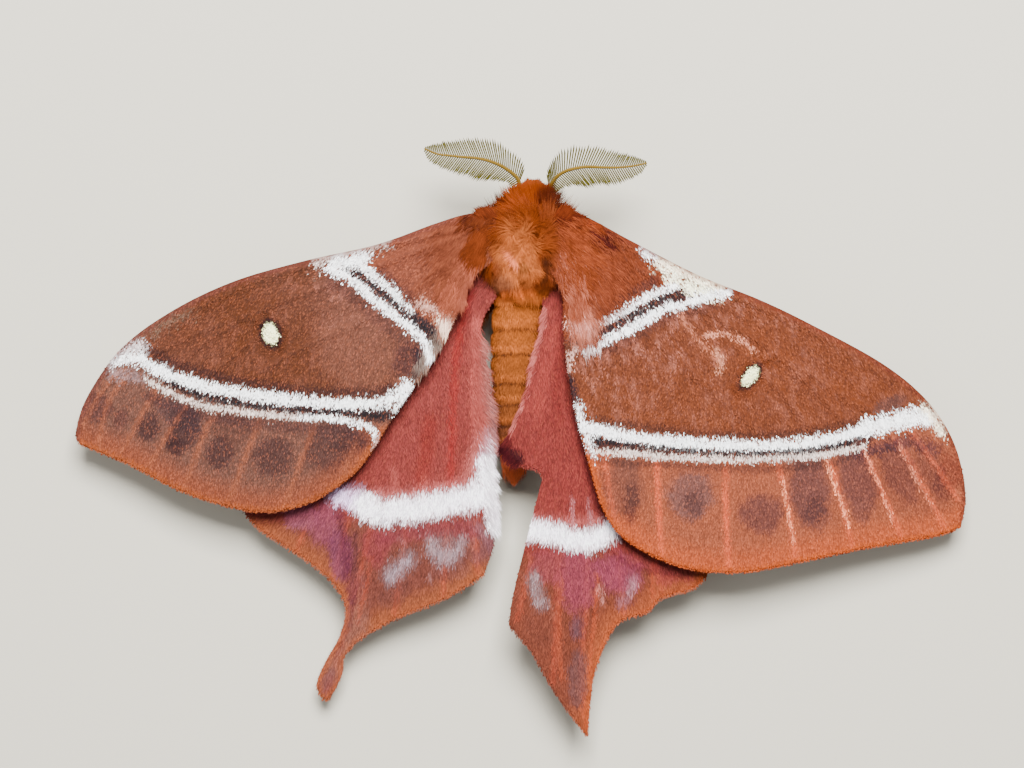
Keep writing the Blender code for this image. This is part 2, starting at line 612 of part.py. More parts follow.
def wing_clearance(stretches, sheet, group):
    """Slab round a wing's root that keeps the coat a gap away from it."""
    ring = outline_points(stretches, 1.3)
    centre = Vector(THORAX_CENTRE[:2])
    first = 0
    while (ring[first] - centre).length < CLEARANCE_REACH:
        first += 1
    last = len(ring) - 1
    while (ring[last] - centre).length < CLEARANCE_REACH:
        last -= 1
    near = ring[:first] + ring[last + 1:]
    area = sum(a.x * b.y - a.y * b.x for a, b in zip(near, near[1:] + near[:1]))
    grown = []
    for before, p, after in zip(near[-1:] + near[:-1], near, near[1:] + near[:1]):
        along = (after - before).normalized()
        outward = Vector((along.y, -along.x)) * math.copysign(1, area)
        grown.append(p + outward * (GAP + 0.1))
    points = list(grown)
    low = [min(p[i] for p in grown) for i in (0, 1)]
    high = [max(p[i] for p in grown) for i in (0, 1)]
    for i in range(1, 8):
        for j in range(1, 8):
            p = Vector((low[0] + (high[0] - low[0]) * i / 8, low[1] + (high[1] - low[1]) * j / 8))
            if inside(p, grown) and min((p - q).length for q in grown) > 1.0:
                points.append(p)
    flat, _, tris, _, _, _ = delaunay_2d_cdt(points, [], [list(range(len(grown)))], 1, 1e-4)
    reach = WING_THICKNESS / 2 + VEIN_RISE + GAP + 0.05
    count = len(flat)
    verts = []
    for way in (1, -1):
        for p in flat:
            verts.append((p.x, p.y, sheet_height(sheet, p.x, p.y) + way * reach))
    faces = [tuple(t) for t in tris] + [tuple(i + count for i in reversed(t)) for t in tris]
    sides = set()
    for t in tris:
        sides |= set(zip(t, t[1:] + t[:1]))
    for a, b in sides:
        if (b, a) not in sides:
            faces.append((b, a, a + count))
            faces.append((b, a + count, b + count))
    return make_object("wing_clearance", verts, faces, group)


def tail_tuft(group):
    dice = random.Random(SEED + 1)
    locks = []
    for k in range(TAIL_TUFT_COUNT):
        turn = 2 * math.pi * k / TAIL_TUFT_COUNT
        out = Vector((math.cos(turn), 0, math.sin(turn)))
        root = Vector(TAIL_TUFT_AT) + out * TAIL_TUFT_RADIUS * 0.6
        way = Vector((0, -1, 0)) + 0.18 * out
        locks.append(blade("tuft", root, way, out, TAIL_TUFT_LENGTH * dice.uniform(0.85, 1.1), 0.75,
                           LOCK_HALF_THICKNESS, LOCK_FORM, 0.1, group))
    return locks


def leg(name, path, side, group, grow=0.0):
    mirrored = [(LEG_MIRROR_X + side * (LEG_MIRROR_X - x), y, z) for x, y, z in path]
    radii = [r + grow for r in LEG_RADII]
    return tube(name, mirrored, radii, group, sides=7, step=1.8)


def floor_block(group):
    mesh = bpy.data.meshes.new("floor_block")
    bm = bmesh.new()
    place = Matrix.Translation((0, 0, -0.01)) @ Matrix.Diagonal((0.2, 0.2, 0.02, 1))
    bmesh.ops.create_cube(bm, size=1, matrix=place)
    bm.to_mesh(mesh)
    bm.free()
    return finish_object("floor_block", mesh, group)


def core_cut(group):
    return ellipsoid("cut", THORAX_CENTRE, THORAX_CORE, group, GAP)


def head_cut(group):
    return ellipsoid("cut", HEAD_CENTRE, HEAD_SIZE, group, GAP, 18, 12)


def eye_place(side):
    return [HEAD_CENTRE[0] + side * EYE_OFFSET[0], HEAD_CENTRE[1] + EYE_OFFSET[1],
            HEAD_CENTRE[2] + EYE_OFFSET[2]]


def eye_cut(side, group):
    return ellipsoid("socket", eye_place(side), (EYE_RADIUS,) * 3, group, GAP, 12, 8)


def build():
    clear_scene()
    parts = new_collection(COLLECTION)
    wings = (
        ("forewing_left", FORE_LEFT_EDGE, FORE_LEFT_VEINS, FORE_LEFT_SHEET, "fore"),
        ("forewing_right", FORE_RIGHT_EDGE, FORE_RIGHT_VEINS, FORE_RIGHT_SHEET, "fore"),
        ("hindwing_left", HIND_LEFT_EDGE, HIND_LEFT_VEINS, HIND_LEFT_SHEET, "hind"),
        ("hindwing_right", HIND_RIGHT_EDGE, HIND_RIGHT_VEINS, HIND_RIGHT_SHEET, "hind"),
    )
    for name, edge, veins, sheet, colour in wings:
        wing = wing_mesh(name, edge, veins, sheet, parts)
        combine(wing, "DIFFERENCE", [core_cut(parts)])
        paint(wing, COLOURS[colour])

    thorax = ellipsoid("thorax", THORAX_CENTRE, THORAX_CORE, parts)
    locks = coat_locks(THORAX_LOCK_ROWS, THORAX_CENTRE, THORAX_CORE, LOCK_HALF_WIDTH, LOCK_SUNK, parts)
    combine(thorax, "UNION", locks)
    tools = [wing_clearance(edge, sheet, parts) for _, edge, _, sheet, _ in wings]
    tools += [head_cut(parts), eye_cut(-1, parts), eye_cut(1, parts), abdomen("cut", parts, GAP)]
    for path in LEG_PATHS.values():
        tools += [leg("cut", path, side, parts, GAP) for side in (-1, 1)]
    for tool in tools:
        combine(thorax, "DIFFERENCE", [tool])
    paint(thorax, COLOURS["thorax"])

    body = abdomen("abdomen", parts)
    combine(body, "UNION", tail_tuft(parts))
    combine(body, "DIFFERENCE", [core_cut(parts)])
    paint(body, COLOURS["abdomen"])

    head = ellipsoid("head", HEAD_CENTRE, HEAD_SIZE, parts, 0.0, 14, 10)
    palps = []
    for side in (-1, 1):
        at = [HEAD_CENTRE[0] + side * PALP_OFFSET[0], HEAD_CENTRE[1] + PALP_OFFSET[1],
              HEAD_CENTRE[2] + PALP_OFFSET[2]]
        palps.append(ellipsoid("palp", at, PALP_SIZE, parts, 0.0, 8, 6))
    palps += coat_locks(HEAD_LOCK_ROWS, HEAD_CENTRE, HEAD_SIZE, HEAD_LOCK_HALF_WIDTH, HEAD_LOCK_SUNK, parts)
    combine(head, "UNION", palps)
    tools = [core_cut(parts), eye_cut(-1, parts), eye_cut(1, parts)]
    for path in (ANTENNA_LEFT, ANTENNA_RIGHT):
        tools.append(tube("cut", path[:4], [SHAFT_ROOT_RADIUS + GAP] * 4, parts, 8, 1.1))
    for tool in tools:
        combine(head, "DIFFERENCE", [tool])
    paint(head, COLOURS["head"])
    for side, name in ((-1, "eye_left"), (1, "eye_right")):
        paint(ellipsoid(name, eye_place(side), (EYE_RADIUS,) * 3, parts, 0, 12, 8), COLOURS["eye"], 0.15)

    for side, name, path in ((1, "antenna_left", ANTENNA_LEFT), (-1, "antenna_right", ANTENNA_RIGHT)):
        feeler = antenna(name, path, side, parts)
        combine(feeler, "DIFFERENCE", [head_cut(parts), eye_cut(-side, parts)])
        paint(feeler, COLOURS["antenna"])

    for base, path in LEG_PATHS.items():
        for side, word in ((-1, "left"), (1, "right")):
            limb = leg(f"{base}_{word}", path, side, parts)
            tools = [core_cut(parts), floor_block(parts)]
            if base == "leg_front":
                tools.append(head_cut(parts))
            if base == "leg_hind":
                tools.append(abdomen("cut", parts, GAP))
            combine(limb, "DIFFERENCE", tools)
            paint(limb, COLOURS["leg"])


build()
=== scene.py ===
# %% [markdown]
# # Banded emperor moth
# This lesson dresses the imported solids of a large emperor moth.
# The wings get a thin skin covered in scales, and the body gets one skin under dense fur.
# Everything is built from named sizes, so each step can be changed and run again.

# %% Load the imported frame
import json
import math

import bmesh
import bpy
import numpy as np
from mathutils import Matrix, Vector
from mathutils.geometry import delaunay_2d_cdt

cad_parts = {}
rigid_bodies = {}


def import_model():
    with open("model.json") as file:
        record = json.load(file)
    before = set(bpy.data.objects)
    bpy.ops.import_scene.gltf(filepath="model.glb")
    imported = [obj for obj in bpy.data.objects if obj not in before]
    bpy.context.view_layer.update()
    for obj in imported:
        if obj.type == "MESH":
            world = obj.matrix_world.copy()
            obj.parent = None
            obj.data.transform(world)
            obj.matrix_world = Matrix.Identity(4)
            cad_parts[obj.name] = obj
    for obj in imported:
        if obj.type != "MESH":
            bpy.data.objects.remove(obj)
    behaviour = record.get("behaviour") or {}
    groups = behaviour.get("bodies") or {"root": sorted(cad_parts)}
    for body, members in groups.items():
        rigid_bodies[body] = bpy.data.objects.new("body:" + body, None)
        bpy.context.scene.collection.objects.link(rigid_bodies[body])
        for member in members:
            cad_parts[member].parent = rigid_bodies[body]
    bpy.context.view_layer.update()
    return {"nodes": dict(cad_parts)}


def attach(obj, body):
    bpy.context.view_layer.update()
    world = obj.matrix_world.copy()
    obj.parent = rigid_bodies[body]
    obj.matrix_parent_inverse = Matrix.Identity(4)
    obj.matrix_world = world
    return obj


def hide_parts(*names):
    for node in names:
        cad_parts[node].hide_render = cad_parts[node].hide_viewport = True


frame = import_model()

MM = 0.001
SEED = 11
print("nodes:", len(frame["nodes"]))

# %% [markdown]
# ## Sizes shared with the solids
# These are the same named values as in the solid model, in millimetres.
# Reading edges off the solids would copy their facets, so the curves are drawn again from points.
# Each wing lies on a shallow sheet that droops towards its tip.
# A sheet has a hinge, the direction of its span, a height, a droop, a reach, a fall and a camber.

# %% Wing sheets
HINGE_LEFT = (-5.3, 25.4)
HINGE_RIGHT = (6.3, 25.4)
SPAN_LEFT = (-0.906, -0.424)
SPAN_RIGHT = (0.811, -0.584)
CAMBER_START = -7.0
CAMBER_CHORD = 34.0
FORE_LEFT_SHEET = (HINGE_LEFT, SPAN_LEFT, 11.0, 6.0, 53.0, 0.07, 0.8)
FORE_RIGHT_SHEET = (HINGE_RIGHT, SPAN_RIGHT, 11.0, 6.0, 54.0, 0.01, 0.8)
HIND_LEFT_SHEET = (HINGE_LEFT, SPAN_LEFT, 9.5, 6.0, 53.0, 0.07, 0.0)
HIND_RIGHT_SHEET = (HINGE_RIGHT, SPAN_RIGHT, 9.5, 6.0, 54.0, 0.02, 0.0)
print("sheets at the hinge, in mm:", FORE_LEFT_SHEET[2], HIND_LEFT_SHEET[2])

# %% [markdown]
# Each outline is a set of stretches. A curve is smooth along a stretch and turns at its ends.

# %% Wing outlines
FORE_LEFT_EDGE = (
    ((-3.0, 27.2), (-6.2, 27.4), (-10.4, 26.2), (-17.7, 23.6), (-26.5, 21.7), (-35.3, 19.3),
     (-43.0, 15.8), (-49.4, 11.3), (-53.8, 5.3), (-55.2, 0.9), (-54.6, -0.4)),
    ((-54.6, -0.4), (-48.1, -3.1), (-42.7, -5.9), (-37.1, -7.9), (-31.5, -8.9), (-26.5, -8.0),
     (-22.4, -5.8), (-19.3, -3.0), (-15.3, 3.0), (-11.8, 8.1), (-9.4, 12.0), (-7.5, 15.6),
     (-6.2, 19.2), (-3.0, 21.8)),
)
FORE_RIGHT_EDGE = (
    ((4.0, 27.3), (7.3, 27.3), (13.6, 24.0), (21.7, 19.9), (29.2, 17.0), (35.7, 14.0), (44.7, 9.3),
     (50.3, 4.8), (53.7, -0.4), (55.1, -6.5), (54.5, -10.6)),
    ((54.5, -10.6), (51.4, -11.7), (42.3, -13.3), (35.2, -14.8), (26.8, -16.3), (19.5, -15.6),
     (13.1, -12.6), (10.1, -8.9), (8.0, -2.2), (6.6, 3.2), (5.6, 8.9), (5.2, 13.4), (5.0, 17.5),
     (3.0, 21.0)),
)
HIND_LEFT_EDGE = (
    ((-3.0, 22.8), (-8.0, 19.0), (-13.6, 14.9), (-19.8, 9.2), (-27.6, 2.3), (-32.9, -3.0),
     (-34.5, -7.0), (-34.3, -8.5), (-32.1, -11.0), (-27.0, -14.3), (-23.2, -17.4), (-21.6, -20.5),
     (-22.3, -24.0), (-24.1, -27.2), (-25.2, -30.1), (-23.9, -31.8), (-22.1, -28.8), (-21.7, -26.4),
     (-19.2, -24.0), (-14.8, -21.6), (-9.3, -19.4), (-4.6, -16.6)),
    ((-4.6, -16.6), (-3.3, -12.3), (-3.2, -6.2), (-3.7, -1.9), (-3.9, 2.4), (-4.5, 7.3),
     (-5.0, 12.2), (-4.6, 15.0), (-3.0, 17.6)),
)
HIND_RIGHT_EDGE = (
    ((4.0, 22.8), (8.0, 18.6), (12.5, 13.5), (17.0, 6.0), (21.4, -1.5), (24.0, -8.3), (24.3, -13.2),
     (23.1, -16.1), (21.2, -18.1), (17.2, -19.3), (15.4, -21.1), (11.8, -22.5), (9.2, -27.7),
     (8.4, -32.3), (8.1, -36.2)),
    ((8.1, -36.2), (4.3, -31.1), (1.3, -26.0), (-1.5, -22.6)),
    ((-1.5, -22.6), (-0.9, -18.8), (0.8, -11.9), (2.2, -6.5), (2.7, -4.6)),
    ((2.7, -4.6), (1.6, -3.6), (-0.4, -3.2), (-2.2, -1.3), (-1.3, 1.0), (0.8, 6.2), (1.5, 9.9),
     (2.7, 14.4), (2.6, 17.6)),
)
EDGES = (FORE_LEFT_EDGE, FORE_RIGHT_EDGE, HIND_LEFT_EDGE, HIND_RIGHT_EDGE)
print("stretches of each wing's outline:", [len(edge) for edge in EDGES])

# %% [markdown]
# The main veins run from the wing base to the margin, with a cell between them.

# %% Main veins
FORE_LEFT_VEINS = (
    ((-6.9, 26.0), (-19.7, 22.7), (-33.3, 19.1), (-44.0, 14.2)),
    ((-6.9, 25.2), (-19.7, 20.3), (-33.3, 15.5), (-44.5, 11.0), (-50.6, 5.5), (-52.3, -0.8)),
    ((-44.5, 11.0), (-50.6, 7.6), (-54.2, 2.2)),
    ((-6.9, 23.6), (-14.8, 16.8), (-28.3, 10.5), (-33.8, 6.6), (-38.0, 2.6), (-41.3, -5.8)),
    ((-33.3, 15.5), (-39.5, 11.5), (-44.5, 6.6), (-49.6, -1.8)),
    ((-33.3, 15.5), (-31.0, 13.3), (-28.3, 10.5)),
    ((-31.0, 13.3), (-37.6, 8.5), (-41.3, 4.0), (-46.0, -3.3)),
    ((-28.3, 10.5), (-30.7, 5.3), (-32.5, 1.1), (-35.9, -7.6)),
    ((-20.9, 13.7), (-23.6, 5.9), (-25.2, 1.6), (-28.9, -7.9)),
    ((-7.9, 20.6), (-13.6, 11.9), (-17.8, 4.6), (-22.0, -5.0)),
)
FORE_RIGHT_VEINS = (
    ((7.9, 26.2), (21.9, 19.1), (34.3, 14.1), (45.6, 7.6)),
    ((7.9, 25.2), (20.7, 16.8), (31.1, 10.8), (40.4, 4.8), (46.4, -0.3), (52.4, -10.7)),
    ((40.4, 4.8), (47.5, 1.5), (54.0, -7.0)),
    ((7.9, 23.4), (15.7, 12.5), (24.9, 4.8), (29.8, -0.2), (32.0, -5.3), (33.6, -14.5)),
    ((31.1, 10.8), (37.9, 4.2), (42.0, -1.3), (46.9, -11.8)),
    ((31.1, 10.8), (28.9, 8.6), (24.9, 4.8)),
    ((28.9, 8.6), (34.4, 2.9), (38.0, -3.3), (40.7, -13.1)),
    ((24.9, 4.8), (25.3, -0.3), (24.9, -6.3), (25.3, -15.6)),
    ((19.7, 9.2), (17.9, 3.3), (16.7, -3.1), (17.1, -14.0)),
    ((7.6, 20.6), (8.4, 10.6), (9.6, 0.9), (11.3, -9.9)),
)
HIND_LEFT_VEINS = (
    ((-6.3, 19.4), (-12.4, 13.9), (-21.0, 4.9), (-33.0, -8.9)),
    ((-12.4, 13.9), (-14.9, 10.9), (-20.4, 2.4), (-27.7, -13.4)),
    ((-14.9, 10.9), (-15.1, 9.7), (-14.9, 8.3)),
    ((-15.1, 9.7), (-18.3, 1.2), (-23.0, -16.7)),
    ((-6.0, 18.4), (-10.0, 12.4), (-14.9, 8.3), (-16.1, -1.3), (-20.4, -18.6), (-22.0, -24.6),
     (-23.9, -30.6)),
    ((-14.9, 8.3), (-13.4, -3.7), (-15.5, -21.2)),
    ((-10.0, 12.4), (-8.7, -1.3), (-9.5, -18.9)),
    ((-5.8, 17.0), (-5.9, 2.4), (-5.3, -16.3)),
)
HIND_RIGHT_VEINS = (
    ((6.9, 19.0), (8.4, 14.0), (12.1, 5.4), (17.7, -5.0), (22.0, -16.3)),
    ((8.4, 10.9), (8.5, 6.6), (14.0, -3.8), (17.2, -18.6)),
    ((8.4, 14.0), (8.4, 10.9)),
    ((8.5, 6.6), (7.8, 4.7), (6.7, 3.5)),
    ((7.8, 4.7), (10.9, -6.3), (12.5, -21.2)),
    ((4.9, 17.6), (4.6, 12.0), (5.2, 6.8), (6.7, 3.5), (7.8, -7.5), (8.0, -19.7), (7.4, -27.0),
     (7.9, -34.9)),
    ((5.2, 6.8), (5.0, -7.5), (4.4, -19.7), (3.9, -29.6)),
    ((3.3, 15.6), (2.9, 3.3), (3.0, -4.0), (1.1, -14.8), (-0.5, -21.9)),
)
print("veins:", len(FORE_LEFT_VEINS + FORE_RIGHT_VEINS + HIND_LEFT_VEINS + HIND_RIGHT_VEINS))

# %% [markdown]
# The body is given by centres and half sizes, and the abdomen, antennae and legs by paths.

# %% Body, antennae and legs
THORAX_CENTRE = (0.6, 22.8, 8.5)
THORAX_CORE = (4.9, 5.6, 4.4)
HEAD_CENTRE = (1.5, 29.9, 7.2)
HEAD_SIZE = (2.4, 2.3, 2.3)
EYE_OFFSET = (1.75, 0.75, -0.45)
EYE_RADIUS = 1.15
PALP_OFFSET = (0.55, 2.1, -1.1)
PALP_SIZE = (0.45, 0.9, 0.5)

# Abdomen: points of its axis, the half-width at each, and where grooves part its segments.
ABDOMEN_AXIS = (
    (0.2, 18.6, 6.6), (-0.2, 16.0, 6.2), (-0.5, 12.0, 5.5), (-0.7, 7.5, 4.9), (-0.8, 3.0, 4.3),
    (-0.8, -0.6, 3.8), (-0.8, -3.4, 3.4), (-0.8, -5.2, 3.2),
)
ABDOMEN_HALF_WIDTH = (2.9, 3.4, 3.35, 3.1, 2.7, 2.1, 1.5, 0.55)
ABDOMEN_FLATTEN = 0.92
ABDOMEN_RINGS = (16.8, 13.6, 10.6, 7.0, 4.4, 1.8, -0.7)
RING_DEPTH = 0.28
RING_HALF_WIDTH = 0.5

# Antennae: the shaft from the head to the tip.
ANTENNA_LEFT = (
    (-0.1, 31.3, 8.1), (-0.5, 32.4, 8.8), (-2.1, 33.5, 9.8), (-3.8, 34.1, 10.6), (-5.5, 34.4, 11.1),
    (-7.2, 34.5, 11.3), (-9.0, 34.7, 11.3), (-10.3, 34.9, 11.2), (-11.9, 35.6, 11.0),
)
ANTENNA_RIGHT = (
    (3.1, 30.9, 8.0), (3.8, 31.6, 8.8), (4.4, 32.3, 9.6), (5.2, 32.8, 10.2), (6.3, 33.1, 10.7),
    (8.1, 33.3, 11.2), (10.1, 33.2, 11.3), (11.9, 33.2, 11.3), (13.8, 33.4, 11.2),
    (15.5, 33.8, 11.0),
)
SHAFT_ROOT_RADIUS = 0.42
SHAFT_TIP_RADIUS = 0.26

# Legs: six points from root to foot, on the left. The right legs mirror them.
LEG_MIRROR_X = 0.6
LEG_PATHS = {
    "leg_front": (
        (-1.6, 25.8, 5.6), (-4.6, 26.4, 4.2), (-8.2, 25.0, 5.2), (-10.0, 24.0, 0.75),
        (-10.9, 24.0, 0.3), (-12.6, 24.3, 0.3)),
    "leg_middle": (
        (-2.0, 22.4, 5.2), (-5.0, 20.6, 4.0), (-10.4, 17.0, 5.4), (-12.6, 14.2, 0.8),
        (-13.2, 13.4, 0.3), (-14.6, 12.0, 0.3)),
    "leg_hind": (
        (-1.6, 19.4, 5.4), (-5.6, 15.0, 3.4), (-9.0, 6.4, 4.4), (-9.8, -0.6, 0.8),
        (-9.9, -1.8, 0.3), (-10.4, -4.2, 0.3)),
}
LEG_RADII = (0.95, 0.85, 0.65, 0.5, 0.45, 0.42)
print("legs:", 2 * len(LEG_PATHS))

# %% [markdown]
# ## The camera
# The camera looks straight down but for six degrees, as in the photograph.
# Markings are given where they fall in that 1024 by 768 view, so the camera comes first.

# %% Camera model
CAMERA_ELEVATION = 84.0
LENS_MM = 85.0
SENSOR_MM = 36.0
VIEW_WIDTH = 1024
VIEW_HEIGHT = 768
PIXELS_PER_MM = 8.1
AIM = np.array([-1.1, 6.9, 7.0])
FOCAL = LENS_MM / SENSOR_MM * VIEW_WIDTH
DISTANCE = FOCAL / PIXELS_PER_MM
TILT = math.radians(CAMERA_ELEVATION)
AWAY = np.array([0, -math.cos(TILT), math.sin(TILT)])
VIEW_UP = np.array([0, math.sin(TILT), math.cos(TILT)])
EYE_POINT = AIM + DISTANCE * AWAY


def in_view(points):
    """Where points in millimetres fall in the view, in pixels from its top left corner."""
    rel = points - EYE_POINT
    depth = -rel @ AWAY
    return np.stack([VIEW_WIDTH / 2 + FOCAL * rel[:, 0] / depth,
                     VIEW_HEIGHT / 2 - FOCAL * (rel @ VIEW_UP) / depth], 1)


print("camera distance in mm:", round(DISTANCE, 1))

# %% [markdown]
# ## Curves, distances and mottling
# Curves run smoothly through the points given.
# A distance to such a curve draws every band, and soft mottling keeps the edges ragged.
# All of it works on whole arrays, because there are more than a hundred thousand scales.

# %% Geometry helpers
FAR = 1e9
TINY = 1e-12


def curve(points, step):
    """Points about a step apart along a smooth curve through the given points."""
    pts = np.array(points, float)
    pts = np.vstack([2 * pts[0] - pts[1], pts, 2 * pts[-1] - pts[-2]])
    out = []
    for a, b, c, d in zip(pts, pts[1:], pts[2:], pts[3:]):
        count = max(1, round(float(np.linalg.norm(c - b)) / step))
        for k in range(count):
            t = k / count
            out.append(0.5 * (2 * b + t * (c - a) + t * t * (2 * a - 5 * b + 4 * c - d)
                              + t ** 3 * (3 * b - a - 3 * c + d)))
    out.append(pts[-2])
    return np.array(out)


def outline(stretches, step):
    """One line of points through all stretches of an outline."""
    parts = [curve(stretch, step)[:-1] for stretch in stretches]
    return np.vstack(parts + [np.array([stretches[-1][-1]], float)])


def nearest(points, line):
    """Distance to a line of points, the share along it, and the side: above nought on its left."""
    best = np.full(len(points), FAR)
    share = np.zeros(len(points))
    side = np.ones(len(points))
    count = len(line) - 1
    for i in range(count):
        step = line[i + 1] - line[i]
        rel = points - line[i]
        t = np.clip(rel @ step / (step @ step), 0, 1)
        off = rel - t[:, None] * step
        d = np.einsum("ij,ij->i", off, off)
        closer = d < best
        best[closer] = d[closer]
        share[closer] = (i + t[closer]) / count
        side[closer] = np.sign(step[0] * rel[closer, 1] - step[1] * rel[closer, 0])
    return np.sqrt(best), share, side


def within(points, ring):
    """Which points lie inside a closed ring."""
    crossed = np.zeros(len(points), bool)
    for a, b in zip(ring, np.roll(ring, -1, axis=0)):
        span = (a[1] > points[:, 1]) != (b[1] > points[:, 1])
        edge = a[0] + (points[:, 1] - a[1]) * (b[0] - a[0]) / (b[1] - a[1] + TINY)
        crossed ^= span & (points[:, 0] < edge)
    return crossed


def sheet_height(sheet, xy):
    """Height of a wing's sheet, which droops along the span and is cambered across it."""
    hinge, span, height, droop, reach, fall, camber = sheet
    dx = xy[:, 0] - hinge[0]
    dy = xy[:, 1] - hinge[1]
    side = math.copysign(1, span[0])
    along = dx * span[0] + dy * span[1]
    rear = side * (dx * span[1] - dy * span[0])
    share = (rear - CAMBER_START) / CAMBER_CHORD
    return height - droop * (along / reach) ** 2 - fall * rear + camber * 4 * share * (1 - share)


def smooth_step(low, high, x):
    """Nought below the low value, one above the high one, and smooth between."""
    t = np.clip((x - low) / (high - low), 0, 1)
    return t * t * (3 - 2 * t)


def fade(low, high, x):
    """One below the low value, nought above the high one, and smooth between."""
    return 1 - smooth_step(low, high, x)


def bell(x, width):
    """One at nought, falling off smoothly over a width."""
    return np.exp(-(x / width) ** 2)


# %% Mottling
LATTICE_SIZE = 128
LATTICE_SHIFT = 40.0
LATTICE = np.random.default_rng(SEED).random((8, LATTICE_SIZE, LATTICE_SIZE))


def mottle(points, scale, layer=0):
    """Soft random values from nought to one over the plane."""
    p = points[:, :2] / scale + LATTICE_SHIFT
    cell = np.floor(p).astype(int)
    f = p - cell
    f = f * f * (3 - 2 * f)
    grid = LATTICE[layer]
    x0, y0 = cell[:, 0] % LATTICE_SIZE, cell[:, 1] % LATTICE_SIZE
    x1, y1 = (x0 + 1) % LATTICE_SIZE, (y0 + 1) % LATTICE_SIZE
    low = grid[x0, y0] * (1 - f[:, 0]) + grid[x1, y0] * f[:, 0]
    high = grid[x0, y1] * (1 - f[:, 0]) + grid[x1, y1] * f[:, 0]
    return low * (1 - f[:, 1]) + high * f[:, 1]


print("layers of mottling:", len(LATTICE))

# %% [markdown]
# ## Colours
# Colours are named as the picture shows them, from 0 to 255.
# `linear` turns one into the surface colour that gives it under the light of this scene.
# Trying colours by eye would take many renders, so the way back is worked out once.

# %% Colour helpers
TONE_TOP = 1.08
TONE_GAIN = 0.8
LIGHT_LEVEL = 4.0
WHITEST = 0.9
SRGB_KNEE = 0.04045
SRGB_SLOPE = 12.92
SRGB_LIFT = 0.055
SRGB_POWER = 2.4


def linear(colour):
    """Surface colour that this light shows as the given red, green and blue, from 0 to 255."""
    c = np.asarray(colour, float) / 255
    c = np.where(c <= SRGB_KNEE, c / SRGB_SLOPE, ((c + SRGB_LIFT) / (1 + SRGB_LIFT)) ** SRGB_POWER)
    return np.minimum(TONE_GAIN * c / (TONE_TOP - c) / LIGHT_LEVEL, WHITEST)


def blend(colours, target, share):
    """Moves colours towards one target colour by a share that may vary."""
    share = np.asarray(share)[:, None] if np.ndim(share) else share
    return colours + (linear(target) - colours) * share


print("white as a surface colour:", linear((250, 250, 250)).round(2))

# %% [markdown]
# ## Markings of the wings
# On the moth, bands and spots are patches of scales of one colour. They could be painted on a
# picture, but curves need no file, and their edges stay sharp from near by.
# Each stripe is a curve with half its width, how soft and how ragged its edge is, a colour
# and a strength.
# Each spot is a centre with two radii and a tilt.
# Points are pixels of the view, because that is where the pattern was judged.

# %% Forewing markings
WHITE = (250, 250, 250)
INK = (52, 46, 52)
SHADE = (98, 62, 60)
FORE_LEFT_LINES = {
    "inner": [(385, 215), (366, 240), (352, 270), (367, 280), (386, 295), (403, 311), (418, 321),
              (438, 338), (462, 362), (480, 390)],
    "outer": [(80, 322), (112, 344), (140, 364), (174, 384), (199, 397), (231, 403), (264, 408),
              (295, 410), (329, 410.5), (367, 414), (388, 418), (420, 424)],
}
FORE_RIGHT_LINES = {
    "inner": [(715, 240), (700, 262), (684, 292), (663, 296), (646, 305), (621, 320), (606, 329),
              (590, 334), (572, 340), (540, 352)],
    "outer": [(545, 432), (572, 438), (592, 443), (621, 445), (667, 450), (698, 451), (740, 452),
              (776, 451), (811, 450), (838, 444), (866, 437), (905, 424), (950, 400), (990, 380)],
}
UNDERLAY = (70, 50, 54)
DUSTY = (232, 226, 222)
